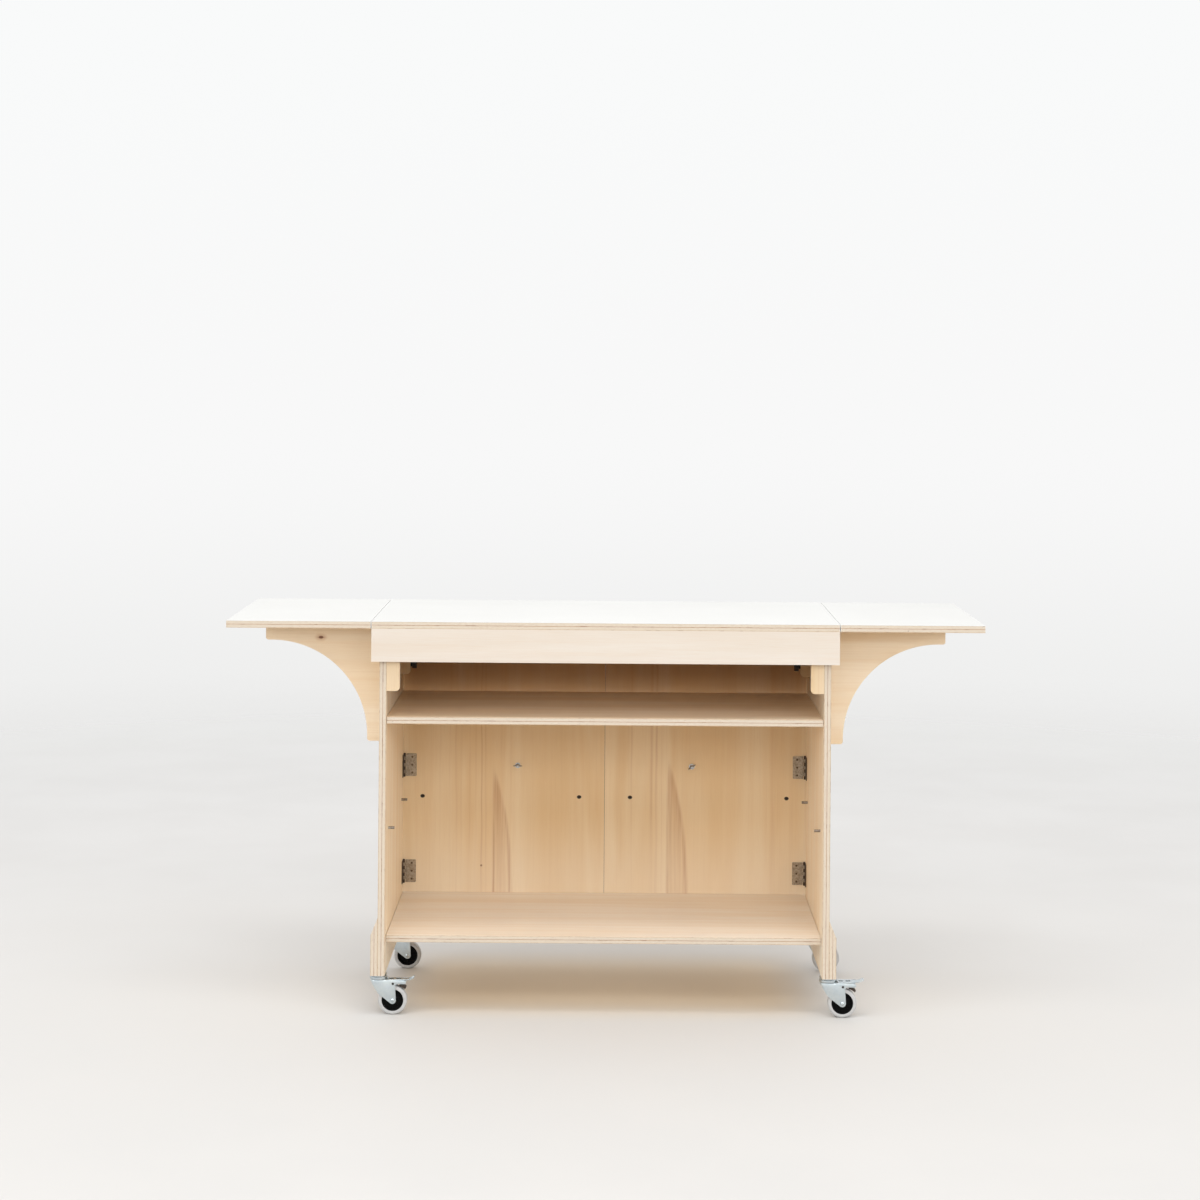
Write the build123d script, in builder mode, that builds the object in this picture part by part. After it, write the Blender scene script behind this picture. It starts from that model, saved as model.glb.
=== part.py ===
from build123d import *
from math import acos, atan2, cos, hypot, radians, sin
import os

# A plywood catering cart: an open cabinet on four swivel castors, with a worktop, a hinged
# flap at each end carried by a swing bracket, a loose shelf on pegs and two rear doors.
# Millimetres, +X to the right, +Y away from the open front, +Z up. The origin is on the
# floor under the middle of the cart.

# Worktop and boards
board = 18.0
top_length = 1200.0
top_depth = 600.0
top_height = 1018.0
top_overhang = 20.0
flap_length = 370.0
flap_seam = 2.0
apron_height = 85.0

# Shelves
bottom_shelf_level = 204.0
bottom_shelf_setback = 32.0
mid_shelf_drop = 229.0
mid_shelf_setback = 6.0
mid_shelf_rear_gap = 44.0
shelf_side_gap = 4.0

# Feet
foot_doubler_height = 149.0
foot_bevel_height = 44.0

# Shelf pegs, in holes in the side panels
peg_radius = 3.5
peg_length = 28.0
peg_reach = 16.0
peg_front_inset = 87.0
peg_back_inset = 61.0
spare_peg_level = 471.0

# Guide blocks under the worktop and the knobs that clamp the rear pair to the sides
guide_width = 34.0
guide_drop = 162.0
guide_corner = 10.0
rear_guide_inset = 207.0
clamp_drop = 132.0
clamp_stud_radius = 4.0
clamp_stud_bite = 13.0
knob_radius = 16.0
knob_thickness = 12.0
knob_neck = 4.0
knob_neck_radius = 10.0
knob_lobes = 5
knob_lobe_share = 0.36

# Swing brackets that carry the flaps
bracket_arm = 310.0
bracket_nose = 47.0
bracket_nose_flat = 17.0
bracket_foot = 43.0
bracket_foot_flat = 13.0
bracket_corner = 7.0
bracket_inset = 133.0

# Rear doors
door_centre_gap = 1.0
door_lap = 1.2
door_top_gap = 2.0
door_hole_radius = 4.5
door_hole_depth = 12.0
door_hole_level = 471.0
door_hole_inner = 71.0
door_hole_outer = 508.0
wing_bolt_x = 243.0
wing_bolt_level = 558.0

# Wing nuts and their bolts
bolt_radius = 3.0
bolt_head_radius = 6.5
bolt_end = 14.0
nut_radius = 5.5
nut_length = 8.0
wing_span = 25.0
wing_rise = 6.0
wing_thickness = 2.4
wing_root_share = 0.6
wing_tip_share = 0.92
nut_taper = 8.0
right_wing_tilt = 35.0

# Butt hinges
hinge_height = 65.0
hinge_knuckles = 3
knuckle_radius = 3.0
pin_radius = 1.5
leaf_thickness = 2.0
door_leaf_width = 35.0
flap_leaf_width = 20.0
lower_door_hinge_level = 262.0
upper_door_hinge_level = 558.0
bracket_hinge_inset = 60.0
flap_hinge_inset = 70.0

# Castors
castor_height = 106.0
castor_inset = 57.0
wheel_radius = 37.5
tyre_width = 24.0
hub_radius = 28.0
castor_trail = 37.0
stem_radius = 5.0
stem_length = 30.0
head_top_radius = 21.5
head_radius = 22.5
head_height = 15.0
fork_sheet = 2.5
fork_width = 30.0
fork_nose = 21.0
fork_knee_height = 55.0
fork_shoulder_drop = 1.0
fork_shoulder_inset = 2.0
fork_throat_radius = 7.0
crown_reach = 22.0
axle_radius = 4.0
axle_boss = 9.0
hub_boss_margin = 1.0
rivet_height = 2.6
kingpin_rivet_radius = 9.0

# Brake pedal on the two front castors
pedal_pivot_x = 38.0
pedal_pivot_z = 80.4
pedal_pin_radius = 2.4
pedal_press = 8.0
pedal_eye_radius = 4.0
pedal_reach = 92.0
pedal_sheet = 2.2
pedal_plate_rise = 0.5
pedal_plate_gap = 2.5
pedal_tip_lift = 8.0
pedal_tip_toe = 4.0
pedal_window_length = 11.0
pedal_window_bar = 8.0
fork_arm_reach = 72.0
fork_arm_slope = 4.0
shoe_thickness = 5.0
shoe_inset = 4.0
shoe_heel_rise = 20.0

# Clearances: between pieces that move past each other, of a shaft in its hole, and of a
# wheel beside its fork
running_gap = 0.3
shaft_gap = 0.05
wheel_side_gap = 0.3

# Places that follow from the sizes above
half_length = top_length / 2
half_depth = top_depth / 2
top_under = top_height - board
side_outer = half_length - top_overhang
side_inner = side_outer - board
apron_back = -half_depth + board
door_front = half_depth - board
foot_bottom = castor_height
pin_offset = knuckle_radius + running_gap
leaf_near = pin_offset - leaf_thickness
door_pin_x = side_inner - pin_offset
door_pin_y = door_front - pin_offset
door_end = side_inner + door_lap
side_rear = door_pin_y - (door_end - door_pin_x) - running_gap
bottom_shelf_under = bottom_shelf_level - board
mid_shelf_level = top_under - mid_shelf_drop
mid_shelf_under = mid_shelf_level - board
shelf_half = side_inner - shelf_side_gap
rear_guide_y = door_front - rear_guide_inset
clamp_level = top_under - clamp_drop
flap_hinge_y = half_depth - flap_hinge_inset
castor_y = half_depth - castor_inset
flap_start = half_length + flap_seam
flap_pin_x = half_length + flap_seam / 2
flap_pin_z = top_under - pin_offset
bracket_top = top_under - running_gap
bracket_start = side_outer + running_gap
bracket_back = apron_back + bracket_inset + board
bracket_arc = bracket_arm - bracket_foot - bracket_nose_flat
bracket_drop = bracket_nose + bracket_arc + bracket_foot_flat
bracket_pin_x = side_outer + pin_offset
bracket_pin_y = bracket_back + pin_offset
knuckle_length = (hinge_height - (hinge_knuckles - 1) * running_gap) / hinge_knuckles
leg_outer = fork_width / 2
leg_inner = leg_outer - fork_sheet
crown_top = castor_height - head_height - running_gap
crown_under = crown_top - fork_sheet

os.makedirs("parts", exist_ok=True)


def save(piece, label):
    """Name a finished piece and write it."""
    piece.label = label
    export_step(piece, f"parts/{label}.step")


def mirrored(piece):
    """The same piece on the left of the cart, as a mirror image."""
    with BuildPart() as twin:
        mirror(piece, about=Plane.YZ)
    return twin.part


def save_pair(piece, label):
    """Write a right-hand piece and its left-hand mirror image."""
    save(piece, f"{label}_right")
    save(mirrored(piece), f"{label}_left")


def board_between(low, high):
    """A flat board with square edges, given by two opposite corners."""
    with BuildPart() as plank:
        with BuildSketch(Plane.XY.offset(low[2])):
            with Locations(((low[0] + high[0]) / 2, (low[1] + high[1]) / 2)):
                Rectangle(high[0] - low[0], high[1] - low[1])
        extrude(amount=high[2] - low[2])
    return plank.part


# Hinge pins: each plane has its origin at the middle of a pin, its Z along the pin, its X
# out along the leaf and its Y towards the board that the leaf is screwed to.
door_fixed_places = []
door_leaf_places = []
for level in (lower_door_hinge_level, upper_door_hinge_level):
    door_pin = (door_pin_x, door_pin_y, level)
    door_fixed_places.append(Plane(door_pin, x_dir=(0, -1, 0), z_dir=(0, 0, 1)))
    door_leaf_places.append(Plane(door_pin, x_dir=(-1, 0, 0), z_dir=(0, 0, -1)))

bracket_fixed_places = []
bracket_leaf_places = []
for level in (bracket_top - bracket_hinge_inset, bracket_top - bracket_drop + bracket_hinge_inset):
    bracket_pin = (bracket_pin_x, bracket_pin_y, level)
    bracket_fixed_places.append(Plane(bracket_pin, x_dir=(0, 1, 0), z_dir=(0, 0, 1)))
    bracket_leaf_places.append(Plane(bracket_pin, x_dir=(1, 0, 0), z_dir=(0, 0, -1)))

flap_fixed_places = []
flap_leaf_places = []
for y in (-flap_hinge_y, flap_hinge_y):
    flap_pin = (flap_pin_x, y, flap_pin_z)
    flap_fixed_places.append(Plane(flap_pin, x_dir=(-1, 0, 0), z_dir=(0, 1, 0)))
    flap_leaf_places.append(Plane(flap_pin, x_dir=(1, 0, 0), z_dir=(0, -1, 0)))


def hinge_leaves(places, leaf_width, carries_pin):
    """One leaf at each place: a flat plate and its own knuckles. The fixed leaf has the outer
    knuckles and carries the pin, and the moving leaf's middle knuckle turns round it."""
    first_knuckle = 0 if carries_pin else 1
    with BuildPart() as leaves:
        for place in places:
            with BuildSketch(place.offset(-hinge_height / 2)):
                with Locations(((pin_offset + leaf_width) / 2, (leaf_near + pin_offset) / 2)):
                    Rectangle(leaf_width - pin_offset, leaf_thickness)
            extrude(amount=hinge_height)
            for index in range(first_knuckle, hinge_knuckles, 2):
                start = index * (knuckle_length + running_gap) - hinge_height / 2
                with BuildSketch(place.offset(start)):
                    Circle(knuckle_radius)
                    with Locations((pin_offset / 2, (leaf_near + knuckle_radius) / 2)):
                        Rectangle(pin_offset, knuckle_radius - leaf_near)
                    if not carries_pin:
                        Circle(pin_radius + shaft_gap, mode=Mode.SUBTRACT)
                extrude(amount=knuckle_length)
            if carries_pin:
                with BuildSketch(place):
                    Circle(pin_radius)
                extrude(amount=hinge_height / 2, both=True)
    return leaves.part


# Side panels: full height from the castors to the worktop, with blind holes for the pegs,
# for the castor stems and for the clamp stud.
peg_levels = (
    bottom_shelf_under - peg_radius - running_gap,
    spare_peg_level,
    mid_shelf_under - peg_radius - running_gap,
)
side_inner_face = Plane((side_inner, 0, 0), x_dir=(0, 1, 0), z_dir=(-1, 0, 0))
peg_spots = []
for peg_level in peg_levels:
    for peg_y in (apron_back + peg_front_inset, door_front - peg_back_inset):
        peg_spots.append((peg_y, peg_level))

side_panel = board_between((side_inner, apron_back, foot_bottom), (side_outer, side_rear, top_under))
foot_under = Plane((side_outer, 0, foot_bottom), x_dir=(1, 0, 0), z_dir=(0, 0, -1))
with BuildPart() as side_panel_right:
    add(side_panel)
    with Locations(side_inner_face):
        for spot_y, spot_z in peg_spots:
            with Locations((spot_y, -spot_z)):
                Hole(peg_radius + shaft_gap, peg_length - peg_reach)
        with Locations((rear_guide_y, -clamp_level)):
            Hole(clamp_stud_radius + shaft_gap, clamp_stud_bite)
    with Locations(foot_under):
        with Locations((0, -castor_y), (0, castor_y)):
            Hole(stem_radius + shaft_gap, stem_length)
save_pair(side_panel_right.part, "side_panel")

# Foot doublers: a strip glued to the outside of each side panel, bevelled at its top, so
# that the foot is wide enough for the castors.
doubler_outer = side_outer + board
doubler_top = foot_bottom + foot_doubler_height
with BuildPart() as foot_doubler_right:
    with BuildSketch(Plane.XZ.offset(-side_rear)):
        with BuildLine():
            Polyline(
                (side_outer, foot_bottom),
                (doubler_outer, foot_bottom),
                (doubler_outer, doubler_top - foot_bevel_height),
                (side_outer, doubler_top),
                close=True,
            )
        make_face()
    extrude(amount=side_rear - apron_back)
    with Locations(foot_under):
        with Locations((0, -castor_y), (0, castor_y)):
            Hole(stem_radius + shaft_gap, stem_length)
save_pair(foot_doubler_right.part, "foot_doubler")

# Shelves: both lie on pegs between the side panels, with a little play at each end. The
# bottom one reaches back to the doors, the upper one stops short of them.
bottom_shelf = board_between(
    (-shelf_half, apron_back + bottom_shelf_setback, bottom_shelf_under),
    (shelf_half, door_front - running_gap, bottom_shelf_level),
)
save(bottom_shelf, "bottom_shelf")
mid_shelf_front = apron_back + mid_shelf_setback
mid_shelf = board_between(
    (-shelf_half, mid_shelf_front, mid_shelf_under),
    (shelf_half, door_front - mid_shelf_rear_gap, mid_shelf_level),
)
save(mid_shelf, "mid_shelf")

# Shelf pegs: plain steel pegs, two on each side at each of the three heights.
with BuildPart() as pegs_right:
    for spot_y, spot_z in peg_spots:
        peg_root = Plane((side_inner + peg_length - peg_reach, spot_y, spot_z), z_dir=(-1, 0, 0))
        with BuildSketch(peg_root):
            Circle(peg_radius)
        extrude(amount=peg_length)
with BuildPart() as shelf_pegs:
    add(pegs_right.part)
    mirror(pegs_right.part, about=Plane.YZ)
save(shelf_pegs.part, "shelf_pegs")

# Worktop, and the apron fixed under its front edge across its whole length.
save(board_between((-half_length, -half_depth, top_under), (half_length, half_depth, top_height)), "main_top")
apron = board_between((-half_length, -half_depth, top_under - apron_height), (half_length, apron_back, top_under))
save(apron, "apron")

# Guide blocks: short boards under the worktop that slide down inside the side panels and
# locate it. Their free lower corner is rounded. The rear pair has a hole for the clamp stud.
guide_tip = side_inner - guide_width
with BuildPart() as guides_right:
    for guide_back in (apron_back + board, rear_guide_y + board / 2):
        with BuildSketch(Plane.XZ.offset(-guide_back)) as guide_outline:
            with BuildLine():
                Polyline(
                    (guide_tip, top_under),
                    (side_inner, top_under),
                    (side_inner, top_under - guide_drop),
                    (guide_tip, top_under - guide_drop),
                    close=True,
                )
            make_face()
            free_corner = guide_outline.vertices().group_by(Axis.X)[0].sort_by(Axis.Y)[0]
            fillet(free_corner, guide_corner)
        extrude(amount=board)
    stud_way = Plane((side_inner, rear_guide_y, clamp_level), z_dir=(-1, 0, 0))
    with BuildSketch(stud_way):
        Circle(clamp_stud_radius + shaft_gap)
    extrude(amount=guide_width, mode=Mode.SUBTRACT)
with BuildPart() as guide_blocks:
    add(guides_right.part)
    mirror(guides_right.part, about=Plane.YZ)
save(guide_blocks.part, "guide_blocks")

# Clamp knobs: a lobed head that fingers can turn, a round neck, and the threaded stud moulded
# into them, which runs through the guide block into the side panel.
knob_start = guide_tip - running_gap
stud_reach = side_inner + clamp_stud_bite - running_gap - knob_start
lobe_radius = knob_radius * knob_lobe_share
with BuildPart() as clamp_knob:
    knob_face = Plane((knob_start, rear_guide_y, clamp_level), x_dir=(0, 1, 0), z_dir=(-1, 0, 0))
    with BuildSketch(knob_face):
        Circle(knob_neck_radius)
    extrude(amount=knob_neck)
    with BuildSketch(knob_face.offset(knob_neck)):
        Circle(knob_radius - lobe_radius)
        with PolarLocations(knob_radius - lobe_radius, knob_lobes):
            Circle(lobe_radius)
    extrude(amount=knob_thickness)
    with BuildSketch(knob_face):
        Circle(clamp_stud_radius)
    extrude(amount=-stud_reach)
save_pair(clamp_knob.part, "clamp_knob")

# End flaps, level with the worktop, and the brackets that carry them: a quarter arc cut
# from one board, with a foot against the side panel and a nose under the flap.
flap = board_between((flap_start, -half_depth, top_under), (flap_start + flap_length, half_depth, top_height))
save_pair(flap, "flap")

arc_x = bracket_start + bracket_foot + bracket_arc
arc_z = bracket_top - bracket_nose - bracket_arc
bracket_low = bracket_top - bracket_drop
bracket_tip = bracket_start + bracket_arm
with BuildPart() as bracket_right:
    with BuildSketch(Plane.XZ.offset(-bracket_back)) as bracket_outline:
        with BuildLine():
            Polyline(
                (arc_x, bracket_top - bracket_nose),
                (bracket_tip, bracket_top - bracket_nose),
                (bracket_tip, bracket_top),
                (bracket_start, bracket_top),
                (bracket_start, bracket_low),
                (bracket_start + bracket_foot, bracket_low),
                (bracket_start + bracket_foot, arc_z),
            )
            ThreePointArc(
                (bracket_start + bracket_foot, arc_z),
                (arc_x - bracket_arc * cos(radians(45)), arc_z + bracket_arc * sin(radians(45))),
                (arc_x, bracket_top - bracket_nose),
            )
        make_face()
        nose_corner = bracket_outline.vertices().group_by(Axis.X)[-1].sort_by(Axis.Y)[0]
        foot_corner = bracket_outline.vertices().group_by(Axis.Y)[0].sort_by(Axis.X)[-1]
        fillet([nose_corner, foot_corner], bracket_corner)
    extrude(amount=board)
save_pair(bracket_right.part, "bracket")

# Rear doors: one on each side, hinged in the inner corner, with blind peg holes in the
# inner face and a hole for the wing bolt.
door_inner_face = Plane.XZ.offset(-door_front)
door_board = board_between(
    (door_centre_gap / 2, door_front, bottom_shelf_under),
    (door_end, door_front + board, top_under - door_top_gap),
)
bolt_head_depth = bolt_head_radius - bolt_radius
with BuildPart() as rear_door_right:
    add(door_board)
    with Locations(door_inner_face):
        with Locations((door_hole_inner, door_hole_level), (door_hole_outer, door_hole_level)):
            Hole(door_hole_radius, door_hole_depth)
    door_outer_face = Plane((0, door_front + board, 0), x_dir=(-1, 0, 0), z_dir=(0, 1, 0))
    with Locations(door_outer_face):
        with Locations((-wing_bolt_x, wing_bolt_level)):
            CounterSinkHole(bolt_radius + shaft_gap, bolt_head_radius, board, 90)
save_pair(rear_door_right.part, "rear_door")

# Wing bolts: a countersunk bolt from the back of each door.
bolt_back = Plane((wing_bolt_x, door_front + board, wing_bolt_level), x_dir=(1, 0, 0), z_dir=(0, -1, 0))
with BuildPart() as wing_bolt:
    with BuildSketch(bolt_back) as bolt_head:
        Circle(bolt_head_radius - shaft_gap)
    extrude(amount=bolt_head_depth, taper=45)
    with BuildSketch(bolt_back):
        Circle(bolt_radius)
    extrude(amount=board + bolt_end)
save_pair(wing_bolt.part, "wing_bolt")


def wing_nut(centre_x, tilt):
    """A wing nut on its bolt, with its two wings turned by the tilt."""
    seat_y = door_front - running_gap
    seat = Plane((centre_x, seat_y, wing_bolt_level), x_dir=(cos(radians(tilt)), 0, sin(radians(tilt))), z_dir=(0, -1, 0))
    span_plane = Plane(seat.origin, x_dir=seat.x_dir, z_dir=seat.y_dir)
    with BuildPart() as nut:
        with BuildSketch(seat):
            Circle(nut_radius)
        extrude(amount=nut_length, taper=nut_taper)
        with BuildSketch(span_plane):
            for side in (-1, 1):
                with BuildLine():
                    Polyline(
                        (side * nut_radius * wing_root_share, 0),
                        (side * nut_radius, 0),
                        (side * wing_span / 2, -nut_length),
                        (side * wing_span / 2 * wing_tip_share, -nut_length - wing_rise),
                        (side * nut_radius * wing_root_share, -nut_length),
                        close=True,
                    )
                make_face()
        extrude(amount=wing_thickness / 2, both=True)
        with BuildSketch(seat):
            Circle(bolt_radius + shaft_gap)
        extrude(amount=nut_length, mode=Mode.SUBTRACT)
    return nut.part


save(wing_nut(wing_bolt_x, right_wing_tilt), "wing_nut_right")
save(wing_nut(-wing_bolt_x, 0), "wing_nut_left")

# Hinge leaves: the fixed ones on the carcass and the main top, and the moving ones on each
# door, bracket and flap.
for label, places, leaf_width in (
    ("butt_hinge_leaves", door_fixed_places + bracket_fixed_places, door_leaf_width),
    ("flap_hinge_leaves", flap_fixed_places, flap_leaf_width),
):
    fixed = hinge_leaves(places, leaf_width, True)
    with BuildPart() as both_sides:
        add(fixed)
        mirror(fixed, about=Plane.YZ)
    save(both_sides.part, label)
save_pair(hinge_leaves(door_leaf_places, door_leaf_width, False), "door_hinge")
save_pair(hinge_leaves(bracket_leaf_places, door_leaf_width, False), "bracket_hinge")
save_pair(hinge_leaves(flap_leaf_places, flap_leaf_width, False), "flap_hinge")


def tangent_point(point, centre, radius):
    """Where a straight line from a point above and to the left meets the lower left of a
    circle as its tangent."""
    away = atan2(point[1] - centre[1], point[0] - centre[0])
    spread = acos(radius / hypot(point[0] - centre[0], point[1] - centre[1]))
    angle = away + spread
    return (centre[0] + radius * cos(angle), centre[1] + radius * sin(angle))


def castor_fork(place, braked):
    """Pressed fork: a hood with a rounded nose under the bearing, raked back to the axle,
    which is riveted into it. A braked one has an arm over the wheel on each leg, which
    carries the pedal's pin."""
    side = Plane(place.origin, x_dir=(1, 0, 0), z_dir=(0, -1, 0))
    axle = (castor_trail, wheel_radius)
    nose_centre = leg_outer - fork_nose
    reach = fork_arm_reach if braked else castor_trail + axle_boss
    knee = (0.0, fork_knee_height)
    boss_start = tangent_point(knee, axle, axle_boss)
    boss_right = castor_trail + axle_boss
    leg_shoulder = pedal_pivot_z - fork_shoulder_drop
    shoulder = (boss_right - fork_shoulder_inset, leg_shoulder)
    with BuildPart() as fork:
        with BuildSketch(place.offset(wheel_radius - axle_boss)):
            with Locations((nose_centre, 0)):
                Circle(leg_outer)
            with Locations(((nose_centre + reach) / 2, 0)):
                Rectangle(reach - nose_centre, 2 * leg_outer)
            with Locations((nose_centre, 0)):
                Circle(leg_inner, mode=Mode.SUBTRACT)
            with Locations(((nose_centre + reach) / 2, 0)):
                Rectangle(reach - nose_centre, 2 * leg_inner, mode=Mode.SUBTRACT)
        extrude(amount=crown_top - wheel_radius + axle_boss)
        with BuildSketch(place.offset(crown_under)):
            with Locations((nose_centre, 0)):
                Circle(leg_outer)
            with Locations(((nose_centre + crown_reach) / 2, 0)):
                Rectangle(crown_reach - nose_centre, 2 * leg_outer)
        extrude(amount=fork_sheet)
        with BuildSketch(side) as outline:
            with BuildLine():
                if braked:
                    Polyline(
                        boss_start,
                        knee,
                        (-fork_nose, crown_under),
                        (-fork_nose, crown_top),
                        (crown_reach, crown_top),
                        (fork_arm_reach, crown_top - fork_arm_slope),
                        (fork_arm_reach, leg_shoulder + fork_arm_slope),
                        (fork_arm_reach - fork_arm_slope, leg_shoulder),
                        shoulder,
                        (boss_right, wheel_radius),
                        axle,
                        close=True,
                    )
                else:
                    Polyline(
                        boss_start,
                        knee,
                        (-fork_nose, crown_under),
                        (-fork_nose, crown_top),
                        (crown_reach, crown_top),
                        shoulder,
                        (boss_right, wheel_radius),
                        axle,
                        close=True,
                    )
            make_face()
            if braked:
                throat = outline.vertices().sort_by_distance(shoulder)[0]
                fillet(throat, fork_throat_radius)
            with Locations(axle):
                Circle(axle_boss)
            if braked:
                with Locations((pedal_pivot_x, pedal_pivot_z)):
                    Circle(pedal_pin_radius + shaft_gap, mode=Mode.SUBTRACT)
        extrude(amount=fork_width, both=True, mode=Mode.INTERSECT)
        with BuildSketch(place.offset(crown_under)):
            Circle(stem_radius + shaft_gap)
        extrude(amount=fork_sheet, mode=Mode.SUBTRACT)
        with BuildSketch(side):
            with Locations(axle):
                Circle(axle_radius)
        extrude(amount=leg_outer + rivet_height, both=True)
    return fork.part


def castor_head(place):
    """Fixed half of a castor's swivel: threaded stem up in the foot, bearing cap against the
    foot, and the kingpin that hangs the fork from its rivet."""
    rivet_top = crown_under - running_gap
    half = Plane(place.origin, x_dir=(1, 0, 0), z_dir=(0, -1, 0))
    with BuildPart() as head:
        with BuildSketch(half):
            with BuildLine():
                Polyline(
                    (0, castor_height + stem_length - running_gap),
                    (stem_radius, castor_height + stem_length - running_gap),
                    (stem_radius, castor_height),
                    (head_top_radius, castor_height),
                    (head_radius, castor_height - head_height),
                    (stem_radius, castor_height - head_height),
                    (stem_radius, rivet_top),
                    (kingpin_rivet_radius, rivet_top),
                    (kingpin_rivet_radius, rivet_top - rivet_height),
                    (0, rivet_top - rivet_height),
                    close=True,
                )
            make_face()
        revolve(axis=Axis(place.origin, (0, 0, 1)))
    return head.part


def wheel_profile_plane(place):
    """Plane through the wheel's axle: X along the axle, Y out along a radius."""
    centre = (place.origin.X + castor_trail, place.origin.Y, wheel_radius)
    return Plane(centre, x_dir=(0, 1, 0), z_dir=(1, 0, 0))


def castor_hub(place):
    """Moulded wheel centre that turns on the axle, with a boss that fills the fork."""
    half_width = tyre_width / 2
    half_boss = leg_inner - wheel_side_gap
    profile = wheel_profile_plane(place)
    bore = axle_radius + shaft_gap
    boss = axle_boss + hub_boss_margin
    with BuildPart() as hub:
        with BuildSketch(profile):
            with BuildLine():
                Polyline(
                    (-half_boss, bore),
                    (half_boss, bore),
                    (half_boss, boss),
                    (half_width, boss),
                    (half_width, hub_radius),
                    (-half_width, hub_radius),
                    (-half_width, boss),
                    (-half_boss, boss),
                    close=True,
                )
            make_face()
        revolve(axis=Axis(profile.origin, (0, 1, 0)))
    return hub.part


def castor_tyre(place):
    """Solid rubber tyre, bonded to the hub."""
    profile = wheel_profile_plane(place)
    with BuildPart() as tyre:
        with BuildSketch(profile):
            with Locations((0, (hub_radius + wheel_radius) / 2)):
                Rectangle(tyre_width, wheel_radius - hub_radius)
        revolve(axis=Axis(profile.origin, (0, 1, 0)))
    return tyre.part


def brake_pedal(place):
    """Pressed channel between the fork's arms, with a window in its top, a tip for the foot
    and a shoe that meets the tyre when the pedal is pressed. Its pin is part of it."""
    side = Plane(place.origin, x_dir=(1, 0, 0), z_dir=(0, -1, 0))
    press = radians(pedal_press)
    drop_x = castor_trail - pedal_pivot_x
    drop_z = wheel_radius - pedal_pivot_z
    shoe_centre = (
        pedal_pivot_x + drop_x * cos(press) - drop_z * sin(press),
        pedal_pivot_z + drop_x * sin(press) + drop_z * cos(press),
    )
    shoe_radius = wheel_radius + running_gap
    half_width = leg_inner - running_gap
    plate_top = crown_top + pedal_plate_rise
    plate_under = plate_top - pedal_sheet
    plate_start = crown_reach + pedal_plate_gap
    plate_end = fork_arm_reach - fork_arm_slope / 2
    shoe_start = castor_trail + axle_boss + shoe_inset
    shoe_end = fork_arm_reach - shoe_inset
    shoe_heel = wheel_radius + shoe_heel_rise
    plate_middle = (plate_start + plate_end) / 2
    window_centre = (pedal_window_length + pedal_window_bar) / 2
    with BuildPart() as pedal:
        with BuildSketch(side):
            with BuildLine():
                Polyline(
                    (plate_start, plate_top),
                    (plate_start, plate_under),
                    (pedal_pivot_x - pedal_eye_radius, pedal_pivot_z),
                    (pedal_pivot_x, pedal_pivot_z - pedal_eye_radius),
                    (shoe_start, wheel_radius),
                    (shoe_end, shoe_heel),
                    (plate_end, plate_under),
                    (plate_end, plate_top),
                    close=True,
                )
            make_face()
            with Locations((pedal_pivot_x, pedal_pivot_z)):
                Circle(pedal_eye_radius)
            with Locations(shoe_centre, (castor_trail, wheel_radius)):
                Circle(shoe_radius, mode=Mode.SUBTRACT)
        extrude(amount=half_width, both=True)
        with BuildSketch(side):
            with BuildLine():
                Polyline(
                    (plate_start, wheel_radius),
                    (plate_start, plate_under),
                    (plate_end - pedal_sheet, plate_under),
                    (plate_end - pedal_sheet, wheel_radius),
                    close=True,
                )
            make_face()
            with Locations(shoe_centre):
                Circle(shoe_radius + shoe_thickness, mode=Mode.SUBTRACT)
        extrude(amount=half_width - pedal_sheet, both=True, mode=Mode.SUBTRACT)
        with BuildSketch(place.offset(plate_under)):
            with Locations((plate_middle - window_centre, 0), (plate_middle + window_centre, 0)):
                Rectangle(pedal_window_length, half_width)
        extrude(amount=pedal_sheet, mode=Mode.SUBTRACT)
        with BuildSketch(side):
            with BuildLine():
                Polyline(
                    (plate_end - pedal_sheet, plate_under),
                    (plate_end + pedal_tip_toe, plate_under),
                    (pedal_reach, plate_under + pedal_tip_lift),
                    (pedal_reach, plate_top + pedal_tip_lift),
                    (plate_end + pedal_tip_toe, plate_top),
                    (plate_end - pedal_sheet, plate_top),
                    close=True,
                )
            make_face()
        extrude(amount=half_width, both=True)
        with BuildSketch(side):
            with Locations((pedal_pivot_x, pedal_pivot_z)):
                Circle(pedal_pin_radius)
        extrude(amount=leg_outer, both=True)
    return pedal.part


# Four castors, all trailing to the right. The front two have the brake pedal.
heads = []
for end, castor_place_y in (("front", -castor_y), ("rear", castor_y)):
    for hand, castor_place_x in (("left", -side_outer), ("right", side_outer)):
        place = Plane((castor_place_x, castor_place_y, 0))
        braked = end == "front"
        heads.append(castor_head(place))
        save(castor_fork(place, braked), f"castor_fork_{end}_{hand}")
        save(castor_hub(place), f"castor_hub_{end}_{hand}")
        save(castor_tyre(place), f"castor_tyre_{end}_{hand}")
        if braked:
            save(brake_pedal(place), f"brake_pedal_{hand}")
with BuildPart() as castor_heads:
    for head in heads:
        add(head)
save(castor_heads.part, "castor_heads")
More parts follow.
